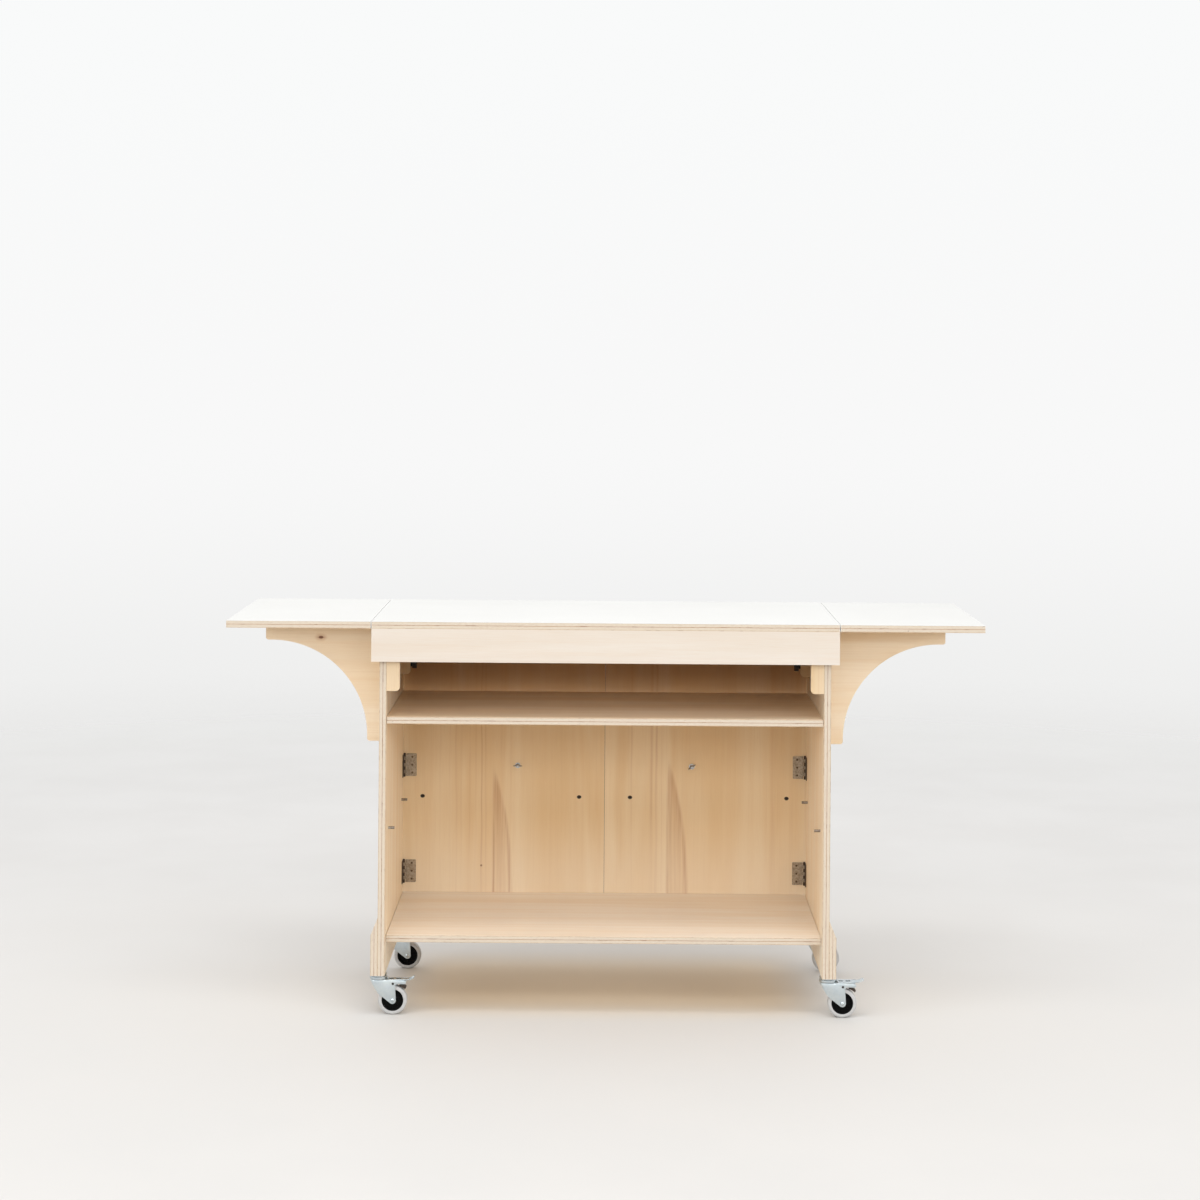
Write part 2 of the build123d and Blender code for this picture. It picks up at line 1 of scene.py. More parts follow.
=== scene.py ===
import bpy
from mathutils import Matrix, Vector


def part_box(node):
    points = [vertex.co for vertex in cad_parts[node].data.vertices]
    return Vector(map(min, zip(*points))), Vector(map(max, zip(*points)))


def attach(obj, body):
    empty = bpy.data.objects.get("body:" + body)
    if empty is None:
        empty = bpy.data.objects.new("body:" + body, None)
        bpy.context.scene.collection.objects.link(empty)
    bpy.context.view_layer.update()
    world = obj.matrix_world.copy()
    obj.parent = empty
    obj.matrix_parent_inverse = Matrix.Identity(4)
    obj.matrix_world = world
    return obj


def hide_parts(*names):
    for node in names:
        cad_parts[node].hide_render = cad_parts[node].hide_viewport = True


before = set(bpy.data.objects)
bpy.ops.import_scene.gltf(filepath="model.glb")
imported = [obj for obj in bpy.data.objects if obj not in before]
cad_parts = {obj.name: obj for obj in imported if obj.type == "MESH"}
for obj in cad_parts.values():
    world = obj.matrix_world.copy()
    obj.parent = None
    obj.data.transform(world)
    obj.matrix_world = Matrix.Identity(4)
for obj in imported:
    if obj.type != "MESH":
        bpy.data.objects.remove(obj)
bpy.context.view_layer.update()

from math import acos, atan2, cos, degrees, hypot, pi, radians, sin

import bmesh
import bpy
from mathutils import Matrix, Vector

# Camera. The view is level and straight on, from the height of a standing person's eyes, and
# the frame is shifted down so that the cart sits in its lower half.
camera_distance = 6.7
camera_height = 1.692
camera_roll = -0.0075
frame_pixels = 1200
camera_data = bpy.data.cameras.new("studio_camera")
camera_data.lens = 75
camera_data.sensor_width = 36
camera_data.shift_x = -7.8 / frame_pixels
camera_data.shift_y = -240 / frame_pixels
camera = bpy.data.objects.new("studio_camera", camera_data)
camera.location = (0, -camera_distance, camera_height)
camera.rotation_euler = (pi / 2, camera_roll, 0)
bpy.context.scene.collection.objects.link(camera)
bpy.context.scene.camera = camera
bpy.context.scene.view_settings.view_transform = "Standard"


# Studio. A round pale floor fades into a pale surround on every side. The light is soft: from
# one softbox overhead, one high in front and a row of three lower ones, and from bright paper
# behind the cart. The room on the near side is dim near the floor.
def linear(colour):
    """A hex sRGB colour as the linear RGBA that shaders take."""
    channels = [int(colour[i:i + 2], 16) / 255 for i in (0, 2, 4)]
    return tuple(c / 12.92 if c <= 0.04045 else ((c + 0.055) / 1.055) ** 2.4 for c in channels) + (1.0,)


def feed(tree, node, inputs):
    """Sets a node's inputs. A socket, or another node's first live output, is linked instead."""
    for key, value in inputs.items():
        if isinstance(value, bpy.types.Node):
            value = next(output for output in value.outputs if output.enabled)
        if isinstance(value, bpy.types.NodeSocket):
            tree.links.new(value, node.inputs[key])
        else:
            node.inputs[key].default_value = value


def add_node(tree, kind, inputs=(), **settings):
    """One shader node with its settings and links. Its inputs come in order or by key."""
    made = tree.nodes.new("ShaderNode" + kind)
    for name, value in settings.items():
        setattr(made, name, value)
    feed(tree, made, inputs if isinstance(inputs, dict) else dict(enumerate(inputs)))
    return made


# Settings that many nodes share.
smooth = {"interpolation_type": "SMOOTHSTEP"}
in_colour = {"data_type": "RGBA"}


def laid_over(tree, base, pattern, limits, tone):
    """A tone laid over a colour by a pattern. The limits are two levels of the pattern and, where
    the tone doesn't go from nothing to its full strength, how strong it is at each."""
    cover = add_node(tree, "MapRange", (pattern, *limits), **smooth)
    return add_node(tree, "Mix", {0: cover, 6: base, 7: linear(tone)}, **in_colour)


def new_material(name):
    """A material with its tree, its surface shader, its own coordinates in millimetres and its
    own normal."""
    material = bpy.data.materials.new(name)
    material.use_nodes = True
    tree = material.node_tree
    local = add_node(tree, "TexCoord").outputs
    mm = add_node(tree, "VectorMath", (local["Object"], (1000, 1000, 1000)), operation="MULTIPLY")
    return material, tree, tree.nodes["Principled BSDF"], mm, local["Normal"]


floor_rings = (1.5, 3.0, 4.5, 6.0, 7.5, 9.0)
floor_steps = 96
floor_fade = (2000, 7200)
floor_mesh = bmesh.new()
rings = [[floor_mesh.verts.new((0, 0, 0))]]
for radius in floor_rings:
    turns = [2 * pi * index / floor_steps for index in range(floor_steps)]
    rings.append([floor_mesh.verts.new((radius * cos(turn), radius * sin(turn), 0)) for turn in turns])
for inner, outer in zip(rings, rings[1:]):
    for index in range(floor_steps):
        after = (index + 1) % floor_steps
        corners = (inner[index % len(inner)], outer[index], outer[after], inner[after % len(inner)])
        floor_mesh.faces.new(list(dict.fromkeys(corners)))
floor_data = bpy.data.meshes.new("studio_floor")
floor_mesh.to_mesh(floor_data)
floor_mesh.free()
floor = bpy.data.objects.new("studio_floor", floor_data)
bpy.context.scene.collection.objects.link(floor)

# The floor is matt painted board with a faint half-metre mottle. It is greyer on the near side.
# Under the cart its colour is painted warmer, a painted reflection of the light the wood throws down.
floor_paint, tree, shader, mm, normal = new_material("pale_studio_floor")
mottle = add_node(tree, "TexNoise", {"Vector": mm, "Scale": 1 / 500, "Detail": 4.0})
across, back, up = add_node(tree, "SeparateXYZ", (mm,)).outputs
tone = laid_over(tree, linear("CBCAC8"), back, (-3500, 3500), "E6E5E3")
tone = laid_over(tree, tone, mottle, (0.3, 0.7, 0.0, 0.3), "D8D6D3")
beside = add_node(tree, "Math", (across,), operation="ABSOLUTE")
behind = add_node(tree, "Math", (back, 80), operation="SUBTRACT")
behind = add_node(tree, "Math", (behind,), operation="ABSOLUTE")
# Painted reflection: a warm tint under the cart for the light that the wood throws on the floor.
warm_x = add_node(tree, "MapRange", (beside, 400, 640, 1.0, 0.0), **smooth)
warm_y = add_node(tree, "MapRange", (behind, 150, 420, 1.0, 0.0), **smooth)
warm = add_node(tree, "Math", (warm_x, warm_y), operation="MULTIPLY")
tone = add_node(tree, "Mix", {0: warm, 6: tone, 7: linear("E0D1BB")}, **in_colour)
away = add_node(tree, "VectorMath", (mm,), operation="LENGTH")
fade = add_node(tree, "MapRange", (away, *floor_fade, 1.0, 0.0), **smooth)
feed(tree, shader, {"Base Color": tone, "Roughness": 0.7, "Specular IOR Level": 0.2, "Alpha": fade})
floor_data.materials.append(floor_paint)

# The air. What lights the cart is told apart from the pale surround that is seen behind it and
# in its shiny pieces.
world = bpy.data.worlds.new("studio_air")
bpy.context.scene.world = world
world.use_nodes = True
tree = world.node_tree
direction = add_node(tree, "TexCoord").outputs["Generated"]
across, back, up = add_node(tree, "SeparateXYZ", (direction,)).outputs
low_light = add_node(tree, "MapRange", (back, -0.4, 0.5, 0.02, 0.8), **smooth)
high_share = add_node(tree, "MapRange", (up, 0.0, 0.75), **smooth)
lighting = add_node(tree, "Mix", {0: high_share, 2: low_light, 3: 1.0}, data_type="FLOAT")
least = add_node(tree, "MapRange", (up, 0.1, 0.3, 0.02, 0.5), **smooth)
lighting = add_node(tree, "Math", (lighting, least), operation="MAXIMUM")
lit = add_node(tree, "Background", {"Color": linear("FEFEFF"), "Strength": lighting})
seen = laid_over(tree, linear("EDEDEC"), up, (-0.16, -0.03), "F8F8F8")
seen = laid_over(tree, seen, up, (-0.03, 0.15), "F9FAFA")
surround = add_node(tree, "Background", {"Color": seen, "Strength": 1.0})
ray = add_node(tree, "LightPath").outputs
shows = add_node(tree, "Math", (ray["Is Camera Ray"], ray["Is Glossy Ray"]), operation="MAXIMUM")
shows = add_node(tree, "Math", (shows, ray["Is Transmission Ray"]), operation="MAXIMUM")
feed(tree, tree.nodes["World Output"], {"Surface": add_node(tree, "MixShader", (shows, lit, surround))})

# Each softbox: its place, what it is aimed at, its width and depth, and its power.
softboxes = (
    ("overhead_softbox", (-0.2, -1.3, 4.2), (0.0, 0.0, 0.0), 3.0, 0.9, 33),
    ("high_softbox", (0.0, -5.0, 4.3), (0.0, 0.0, 0.6), 6.0, 1.3, 75),
    ("low_softbox", (0.0, -5.0, 2.15), (0.0, 0.0, 1.0), 6.0, 1.0, 54),
    ("low_left_softbox", (-5.2, -3.8, 2.15), (0.0, 0.0, 0.8), 3.0, 1.0, 56),
    ("low_right_softbox", (5.2, -3.8, 2.15), (0.0, 0.0, 0.8), 3.0, 1.0, 58),
)
for name, place, aim, width, depth, power in softboxes:
    light_data = bpy.data.lights.new(name, "AREA")
    light_data.shape = "RECTANGLE"
    light_data.size = width
    light_data.size_y = depth
    light_data.energy = power
    light_data.color = linear("FFFDFA")[:3]
    light = bpy.data.objects.new(name, light_data)
    light.location = place
    light.rotation_euler = (Vector(aim) - Vector(place)).to_track_quat("-Z", "Y").to_euler()
    light.visible_camera = False
    bpy.context.scene.collection.objects.link(light)


# Side panels, feet and apron. Pale seven-ply boards under a clear satin lacquer, sawn to size
# with their arrises just taken off. Both faces are figured veneer, and the edges show the plies
# as light and pinkish lines with a few dark dashes in them.
def box_mm(node):
    """A CAD node's lowest and highest corners in millimetres."""
    return [[value * 1000 for value in corner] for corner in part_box(node)]


def soften(piece, width_mm, segments=2, angle=40):
    """Rounds off a piece's sharp edges."""
    bevel = piece.modifiers.new("soft_edges", "BEVEL")
    bevel.width = width_mm / 1000
    bevel.segments = segments
    bevel.limit_method = "ANGLE"
    bevel.angle_limit = radians(angle)
    bevel.use_clamp_overlap = False
    bevel.harden_normals = False


def finish_node(node, material, width_mm, segments=2):
    """Gives a CAD node that stays its material and soft edges."""
    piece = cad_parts[node]
    piece.data.materials.clear()
    piece.data.materials.append(material)
    soften(piece, width_mm, segments)


def streaks(tree, mm, grain, across, along, seed, detail=4.0, bend=0.0):
    """Noise drawn out along the grain, with streaks about that many millimetres wide and long."""
    scale = [1 / across] * 3
    scale[grain] = 1 / along
    shift = (seed, seed * 1.7, seed * 0.6)
    shifted = add_node(tree, "Mapping", {"Vector": mm, "Location": shift, "Scale": scale})
    inputs = {"Vector": shifted, "Scale": 1.0, "Detail": detail, "Roughness": 0.55, "Distortion": bend}
    return add_node(tree, "TexNoise", inputs)


# Tones through the thickness of a board: seven plies with a glue line after each, and the
# darkest ply in the middle.
ply_tones = (
    (0.0, "CDB89E"), (0.1, "D2BFA7"), (0.15, "DFD4C4"), (0.25, "DCD0BE"), (0.29, "CFBCA5"),
    (0.33, "DED3C3"), (0.43, "DDD1C0"), (0.47, "B8997D"), (0.53, "BC9E83"), (0.58, "E0D5C5"),
    (0.68, "DDD1BF"), (0.72, "D0BDA6"), (0.76, "DED3C3"), (0.87, "DCD0BE"), (0.92, "CFBAA0"),
    (1.0, "C9B398"),
)


def plywood(name, low, high, thin, grain, seed, light="F3E0C5", dark="EED4AE", figure=1.0, marks=None):
    """Plywood whose plies lie across one axis and whose veneer runs along another. Marks add
    what only one board has, such as a knot."""
    material, tree, shader, mm, normal = new_material(name)
    depth = add_node(tree, "SeparateXYZ", (mm,)).outputs[thin]
    facing = add_node(tree, "SeparateXYZ", (normal,)).outputs[thin]
    facing = add_node(tree, "Math", (facing,), operation="ABSOLUTE")
    is_edge = add_node(tree, "Math", (facing, 0.6), operation="LESS_THAN")

    # The veneer: broad and narrow bands, growth rings, and fibre about a millimetre wide, which
    # is coarser than the real one, so that it shows.
    broad = streaks(tree, mm, grain, 110, 1200, seed, 2.0, 0.8)
    bands = streaks(tree, mm, grain, 24, 900, seed + 3, 4.0, 0.7)
    rings = streaks(tree, mm, grain, 6, 500, seed + 5, 2.0, 0.2)
    fibre = streaks(tree, mm, grain, 0.9, 60, seed + 7, 3.0)
    face = laid_over(tree, linear(light), broad, (0.3, 0.7), dark)
    face = laid_over(tree, face, bands, (0.42, 0.75, 0.0, 0.3 * figure), "DDB27A")
    face = laid_over(tree, face, rings, (0.48, 0.8, 0.0, 0.22 * figure), "C99C67")
    face = laid_over(tree, face, fibre, (0.35, 0.8, 0.0, 0.14), "CFA675")

    # The edges: plies that waver a little, specks of end grain, dark dashes on the glue lines,
    # and small voids.
    weave = streaks(tree, mm, thin, 45, 3, seed + 17, 3.0)
    weave = add_node(tree, "Math", (weave, 0.5), operation="SUBTRACT")
    share = add_node(tree, "Math", (depth, low), operation="SUBTRACT")
    share = add_node(tree, "Math", (share, high - low), operation="DIVIDE")
    share = add_node(tree, "Math", (weave, 0.05, share), operation="MULTIPLY_ADD")
    plies = add_node(tree, "ValToRGB", (share,))
    ramp = plies.color_ramp.elements
    ramp[0].color = linear(ply_tones[0][1])
    ramp[1].color = linear(ply_tones[-1][1])
    for place, tone in ply_tones[1:-1]:
        ramp.new(place).color = linear(tone)
    specks = streaks(tree, mm, thin, 9, 1.2, seed + 23, 2.0)
    edge = laid_over(tree, plies, specks, (0.45, 0.85, 0.0, 0.35), "A88361")
    to_line = add_node(tree, "Math", (share, 0.25), operation="PINGPONG")
    on_line = add_node(tree, "MapRange", (to_line, 0.035, 0.075, 1.0, 0.0), **smooth)
    dashes = streaks(tree, mm, thin, 26, 3.5, seed + 29, 2.0)
    dashes = add_node(tree, "MapRange", (dashes, 0.55, 0.63, 0.0, 0.6), **smooth)
    dashes = add_node(tree, "Math", (on_line, dashes), operation="MULTIPLY")
    edge = add_node(tree, "Mix", {0: dashes, 6: edge, 7: linear("8C6248")}, **in_colour)
    voids = streaks(tree, mm, thin, 16, 2.2, seed + 31, 1.0)
    edge = laid_over(tree, edge, voids, (0.765, 0.79, 0.0, 0.75), "6B4A36")
    if marks:
        face, edge = marks(tree, mm, face, edge)

    # The lacquer is satin on the veneer and duller on the edges, which drink it in.
    tone = add_node(tree, "Mix", {0: is_edge, 6: face, 7: edge}, **in_colour)
    rough = add_node(tree, "MapRange", (fibre, 0.3, 0.8, 0.42, 0.6), **smooth)
    rough = add_node(tree, "Math", (is_edge, 0.2, rough), operation="MULTIPLY_ADD")
    relief = add_node(tree, "Math", (specks, is_edge), operation="MULTIPLY")
    relief = add_node(tree, "Math", (fibre, relief), operation="ADD")
    bump = add_node(tree, "Bump", {"Height": relief, "Strength": 0.12, "Distance": 0.0004})
    feed(tree, shader, {"Base Color": tone, "Roughness": rough, "Normal": bump})
    return material


def board_material(node, thin, grain, seed, **tones):
    """Plywood for a board that is one CAD node."""
    low, high = box_mm(node)
    return plywood(node + "_plywood", low[thin], high[thin], thin, grain, seed, **tones)


board_softness = 0.6
boards = (
    ("side_panel_left", 0, 2, 11.3, {"light": "FDF0DA", "dark": "F9E6C8"}),
    ("side_panel_right", 0, 2, 27.9, {"light": "FDF1DC", "dark": "FAE8CC"}),
    ("foot_doubler_left", 0, 2, 33.1, {}),
    ("foot_doubler_right", 0, 2, 38.6, {}),
    ("apron", 1, 0, 60.4, {"light": "E4DCD2", "dark": "E0D5C8", "figure": 0.2}),
)
for node, thin, grain, seed, tones in boards:
    finish_node(node, board_material(node, thin, grain, seed, **tones), board_softness)


# Shelves. Two plain boards of the same plywood, cut to fit closely between the side panels, that
# slide out to the front. The lower one is paler.
def prism(drawing, outline, low, high, place):
    """A flat outline drawn out from one height to another along its place's Z."""
    lower = [drawing.verts.new(place @ Vector((u, v, low))) for u, v in outline]
    upper = [drawing.verts.new(place @ Vector((u, v, high))) for u, v in outline]
    drawing.faces.new(lower[::-1])
    drawing.faces.new(upper)
    count = len(outline)
    for index in range(count):
        after = (index + 1) % count
        drawing.faces.new((lower[index], lower[after], upper[after], upper[index]))


def block(drawing, low, high, place):
    """A box between two corners."""
    outline = [(low[0], low[1]), (high[0], low[1]), (high[0], high[1]), (low[0], high[1])]
    prism(drawing, outline, low[2], high[2], place)


def piece_from(drawing, name, material, smooth_below=35):
    """A new object from a mesh drawn in millimetres in the cart's own frame."""
    bmesh.ops.recalc_face_normals(drawing, faces=drawing.faces)
    bmesh.ops.scale(drawing, vec=(0.001, 0.001, 0.001), verts=drawing.verts)
    data = bpy.data.meshes.new(name)
    drawing.to_mesh(data)
    drawing.free()
    data.materials.append(material)
    for polygon in data.polygons:
        polygon.use_smooth = True
    data.set_sharp_from_angle(angle=radians(smooth_below))
    piece = bpy.data.objects.new(name, data)
    bpy.context.scene.collection.objects.link(piece)
    return piece


shelf_gap = 0.8
shelf_end = box_mm("side_panel_right")[0][0] - shelf_gap
shelves = (
    ("bottom_shelf", "lower_shelf", 45.2, {"light": "F5EDE1", "dark": "F0E3D1", "figure": 0.6}),
    ("mid_shelf", "upper_shelf", 52.7, {"light": "F1DDC4", "dark": "E9CFAF", "figure": 0.6}),
)
for node, body, seed, tones in shelves:
    low, high = box_mm(node)
    drawing = bmesh.new()
    block(drawing, (-shelf_end, low[1], low[2]), (shelf_end, high[1], high[2]), Matrix())
    shelf = piece_from(drawing, f"{node}_board", board_material(node, 2, 0, seed, **tones))
    soften(shelf, board_softness)
    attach(shelf, body)
    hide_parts(node)

# Doors. The same plywood in a golden veneer with upright grain. On the inner faces a wedge of
# reddish heartwood rises from the foot between thin red lines. The inner faces also carry painted
# shade that darkens them towards the top, and painted light that makes them paler near the foot.
# Two holes are drilled part of the way into each door, with painted shade in them.
door_front = box_mm("rear_door_left")[0][1]
veneer_depth = 2.0
flame_foot = 204.0
hole_x = (71.0, 508.0)
hole_z = 471.0
hole_depth = 12.0


def distance(tree, off_x, off_z):
    """How far a point on an upright board is from a mark, from its two offsets."""
    off = add_node(tree, "CombineXYZ", {0: off_x, 2: off_z})
    return add_node(tree, "VectorMath", (off,), operation="LENGTH")


def heartwood(tree, across, run, height, width, grain, face):
    """A wedge of reddish wood: upright on its left, bowed on its right, soft at its tip."""
    share = add_node(tree, "Math", (run, height), operation="DIVIDE", use_clamp=True)
    bow = add_node(tree, "Math", (1.0, share), operation="SUBTRACT")
    bow = add_node(tree, "Math", (bow, 2.0), operation="POWER")
    bow = add_node(tree, "Math", (1.0, bow), operation="SUBTRACT")
    reach = add_node(tree, "Math", (bow, width), operation="MULTIPLY")
    spare = add_node(tree, "Math", (reach, across), operation="SUBTRACT")
    left_edge = add_node(tree, "MapRange", (across, -4.0, 5.0), **smooth)
    right_edge = add_node(tree, "MapRange", (spare, -6.0, 7.0), **smooth)
    inside = add_node(tree, "Math", (left_edge, right_edge), operation="MULTIPLY")
    below_tip = add_node(tree, "MapRange", (run, -10.0, 70.0), **smooth)
    inside = add_node(tree, "Math", (inside, below_tip), operation="MULTIPLY")
    left_vein = add_node(tree, "MapRange", (across, 1.0, 10.0, 0.52, 0.0), **smooth)
    lower_down = add_node(tree, "MapRange", (share, 0.1, 0.6), **smooth)
    left_vein = add_node(tree, "Math", (left_vein, lower_down), operation="MULTIPLY")
    right_vein = add_node(tree, "MapRange", (spare, 2.0, 17.0, 0.44, 0.0), **smooth)
    middle = add_node(tree, "MapRange", (share, 0.1, 0.9, 0.4, 0.14), **smooth)
    strength = add_node(tree, "Math", (left_vein, right_vein), operation="MAXIMUM")
    strength = add_node(tree, "Math", (strength, middle), operation="MAXIMUM")
    strength = add_node(tree, "Math", (strength, inside), operation="MULTIPLY")
    threads = add_node(tree, "MapRange", (grain, 0.3, 0.65, 0.45, 1.3), **smooth)
    strength = add_node(tree, "Math", (strength, threads), operation="MULTIPLY")
    return add_node(tree, "Mix", {0: strength, 6: face, 7: linear("AD7349")}, **in_colour)


def door_marks(flame_x, flame_tip, flame_width, lines, knot=None):
    """What one door shows beside its grain. Each line is its place, its width and its strength."""
    def marks(tree, mm, bare, edge):
        x, y, z = add_node(tree, "SeparateXYZ", (mm,)).outputs
        wave = streaks(tree, mm, 2, 70, 320, flame_x, 2.0)
        wave = add_node(tree, "Math", (wave, 0.5), operation="SUBTRACT")
        bent = add_node(tree, "Math", (wave, 16.0, x), operation="MULTIPLY_ADD")
        thread = streaks(tree, mm, 2, 5, 260, flame_tip, 3.0)
        broken = add_node(tree, "MapRange", (thread, 0.3, 0.65, 0.25, 0.85), **smooth)
        face = bare
        for line_x, line_width, strength in lines:
            off = add_node(tree, "Math", (bent, line_x), operation="SUBTRACT")
            off = add_node(tree, "Math", (off,), operation="ABSOLUTE")
            line = add_node(tree, "MapRange", (off, 0.0, line_width, strength, 0.0), **smooth)
            line = add_node(tree, "Math", (line, broken), operation="MULTIPLY")
            face = add_node(tree, "Mix", {0: line, 6: face, 7: linear("B5794C")}, **in_colour)
        # Painted shade: the inner face darkens from under the mid shelf up into the upper compartment.
        face = laid_over(tree, face, z, (680.0, 768.0, 0.0, 0.58), "A5713F")
        # Painted light: the inner face is paler just above the bottom shelf, fading out by 440 mm.
        face = laid_over(tree, face, z, (flame_foot, 440.0, 0.4, 0.0), "F5E8D6")
        across = add_node(tree, "Math", (bent, flame_x), operation="SUBTRACT")
        run = add_node(tree, "Math", (flame_tip, z), operation="SUBTRACT")
        face = heartwood(tree, across, run, flame_tip - flame_foot, flame_width, thread, face)
        if knot:
            off_x = add_node(tree, "Math", (x, knot[0]), operation="SUBTRACT")
            off_z = add_node(tree, "Math", (z, knot[1]), operation="SUBTRACT")
            face = laid_over(tree, face, distance(tree, off_x, off_z), (1.5, 4.0, 0.8, 0.0), "7A4A2C")
        is_inner = add_node(tree, "Math", (y, door_front + veneer_depth), operation="LESS_THAN")
        face = add_node(tree, "Mix", {0: is_inner, 6: bare, 7: face}, **in_colour)

        # The holes are filled with painted shade: a dark patch a little wider than high, with a soft rim.
        beside = add_node(tree, "Math", (x,), operation="ABSOLUTE")
        offs = [add_node(tree, "Math", (beside, place), operation="SUBTRACT") for place in hole_x]
        offs = [add_node(tree, "Math", (off,), operation="ABSOLUTE") for off in offs]
        off_x = add_node(tree, "Math", offs, operation="MINIMUM")
        off_x = add_node(tree, "Math", (off_x, 0.8), operation="MULTIPLY")
        off_z = add_node(tree, "Math", (z, hole_z), operation="SUBTRACT")
        within = add_node(tree, "MapRange", (distance(tree, off_x, off_z), 4.6, 5.4, 0.97, 0.0), **smooth)
        is_drilled = add_node(tree, "Math", (y, door_front + hole_depth + 1.0), operation="LESS_THAN")
        hole_shade = add_node(tree, "Math", (within, is_drilled), operation="MULTIPLY")
        dark = {0: hole_shade, 7: linear("241407")}
        return [add_node(tree, "Mix", {6: tone, **dark}, **in_colour) for tone in (face, edge)]
    return marks


left_lines = (
    (-458, 4, 0.1), (-430, 3, 0.12), (-413, 4, 0.16), (-399, 3, 0.14), (-377, 3, 0.12),
    (-360, 4, 0.14), (-343, 3.5, 0.42), (-332, 3, 0.22), (-286, 4, 0.12), (-262, 3, 0.08),
)
right_lines = (
    (33, 4, 0.1), (73, 4, 0.24), (131, 7, 0.28), (145, 5, 0.4), (160, 3, 0.14), (470, 12, 0.12),
    (520, 9, 0.1),
)
doors = (
    ("rear_door_left", 71.5, door_marks(-311, 560, 56, left_lines, (-343, 278))),
    ("rear_door_right", 83.9, door_marks(175, 583, 58, right_lines)),
)
for node, seed, marks in doors:
    golden = board_material(node, 1, 2, seed, light="F1DBB7", dark="E8CA9D", figure=0.45, marks=marks)
    finish_node(node, golden, board_softness)

# Meeting edges. A dark brown strip under half a millimetre thick stands on the edge of each
# door where the two meet, as painted shade for the gap between the doors. It is matt, with fine upright
# grain.
meeting_shade_strip, tree, shader, mm, normal = new_material("painted_shade_meeting_strip")
grain = streaks(tree, mm, 2, 1.5, 60, 5.5)
feed(tree, shader, {
    "Base Color": laid_over(tree, linear("5E442C"), grain, (0.3, 0.7), "73563A"),
    "Roughness": add_node(tree, "MapRange", (grain, 0.3, 0.7, 0.5, 0.65), **smooth),
})
strip_thickness = 0.45
strip_inset = 0.3
for hand, side in (("left", -1), ("right", 1)):
    low, high = box_mm(f"rear_door_{hand}")
    meeting = high[0] if side < 0 else low[0]
    strip_x = sorted((meeting, meeting - side * strip_thickness))
    low = (strip_x[0], low[1] + strip_inset, low[2] + strip_inset)
    high = (strip_x[1], high[1] - strip_inset, high[2] - strip_inset)
    drawing = bmesh.new()
    block(drawing, low, high, Matrix())
    shade_strip = piece_from(drawing, f"door_edge_band_{hand}", meeting_shade_strip)
    soften(shade_strip, 0.08, 1)
    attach(shade_strip, f"door_{hand}")

# Main top and end flaps. The same plywood, bare below and at its edges, with a white satin
# laminate bonded to the upper face. The faces in the two seams, and a thin strip beside them, are
# painted a brighter white: painted light that lifts the shade in the seams. The laminate has a very
# faint cloud and a fine pebble in its shine, drawn at a millimetre so that it shows.
seam_x = (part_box("main_top")[1][0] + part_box("flap_right")[0][0]) / 2
seam_reach = 0.0015
laminate_depth = 0.0009


def laminated(node, seed):
    """White laminate over a board whose edges show its plies."""
    low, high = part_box(node)
    material = plywood(node + "_laminate", low[2] * 1000, high[2] * 1000, 2, 0, seed)
    tree = material.node_tree
    shader = tree.nodes["Principled BSDF"]
    wood = shader.inputs["Base Color"].links[0].from_socket
    wood_rough = shader.inputs["Roughness"].links[0].from_socket
    local = add_node(tree, "TexCoord").outputs
    up = add_node(tree, "SeparateXYZ", (local["Normal"],)).outputs[2]
    x, y, z = add_node(tree, "SeparateXYZ", (local["Object"],)).outputs
    is_upper = add_node(tree, "Math", (up, 0.6), operation="GREATER_THAN")
    on_top = add_node(tree, "Math", (z, high[2] - laminate_depth), operation="GREATER_THAN")
    to_seam = add_node(tree, "Math", (x,), operation="ABSOLUTE")
    to_seam = add_node(tree, "Math", (to_seam, seam_x), operation="SUBTRACT")
    to_seam = add_node(tree, "Math", (to_seam,), operation="ABSOLUTE")
    painted_light_seam = add_node(tree, "Math", (to_seam, seam_reach), operation="LESS_THAN")
    is_sheet = add_node(tree, "Math", (on_top, painted_light_seam), operation="MAXIMUM")
    is_sheet = add_node(tree, "Math", (is_upper, is_sheet), operation="MAXIMUM")
    cloud = add_node(tree, "TexNoise", {"Vector": local["Object"], "Scale": 3.0, "Detail": 3.0})
    white = laid_over(tree, linear("E2E2DF"), cloud, (0.3, 0.7), "DFDFDC")
    # Painted light: the seam faces and a thin strip beside them are a brighter white than the rest of the
    # sheet.
    white = add_node(tree, "Mix", {0: painted_light_seam, 6: white, 7: linear("F8F8F6")}, **in_colour)
    tone = add_node(tree, "Mix", {0: is_sheet, 6: wood, 7: white}, **in_colour)
    pebble = add_node(tree, "TexNoise", {"Vector": local["Object"], "Scale": 900.0, "Detail": 2.0})
    sheet_rough = add_node(tree, "MapRange", (pebble, 0.3, 0.7, 0.3, 0.38), **smooth)
    rough = add_node(tree, "Mix", {0: is_sheet, 2: wood_rough, 3: sheet_rough}, data_type="FLOAT")
    feed(tree, shader, {"Base Color": tone, "Roughness": rough})
    return material


for node, seed in (("main_top", 91.2), ("flap_left", 97.7), ("flap_right", 103.1)):
    finish_node(node, laminated(node, seed), 0.4)


# Swing brackets. Each is cut from one board with a quarter arc and two rounded corners, and its
# arris is taken off all round. The grain runs along the arm, and the left one has a small knot.
def placed(origin, x_axis, z_axis):
    """A matrix that puts a drawing's own X and Z along two directions at a point."""
    x_dir = Vector(x_axis).normalized()
    z_dir = Vector(z_axis).normalized()
    y_dir = z_dir.cross(x_dir)
    spin = Matrix((x_dir, y_dir, z_dir)).transposed().to_4x4()
    return Matrix.Translation(Vector(origin)) @ spin


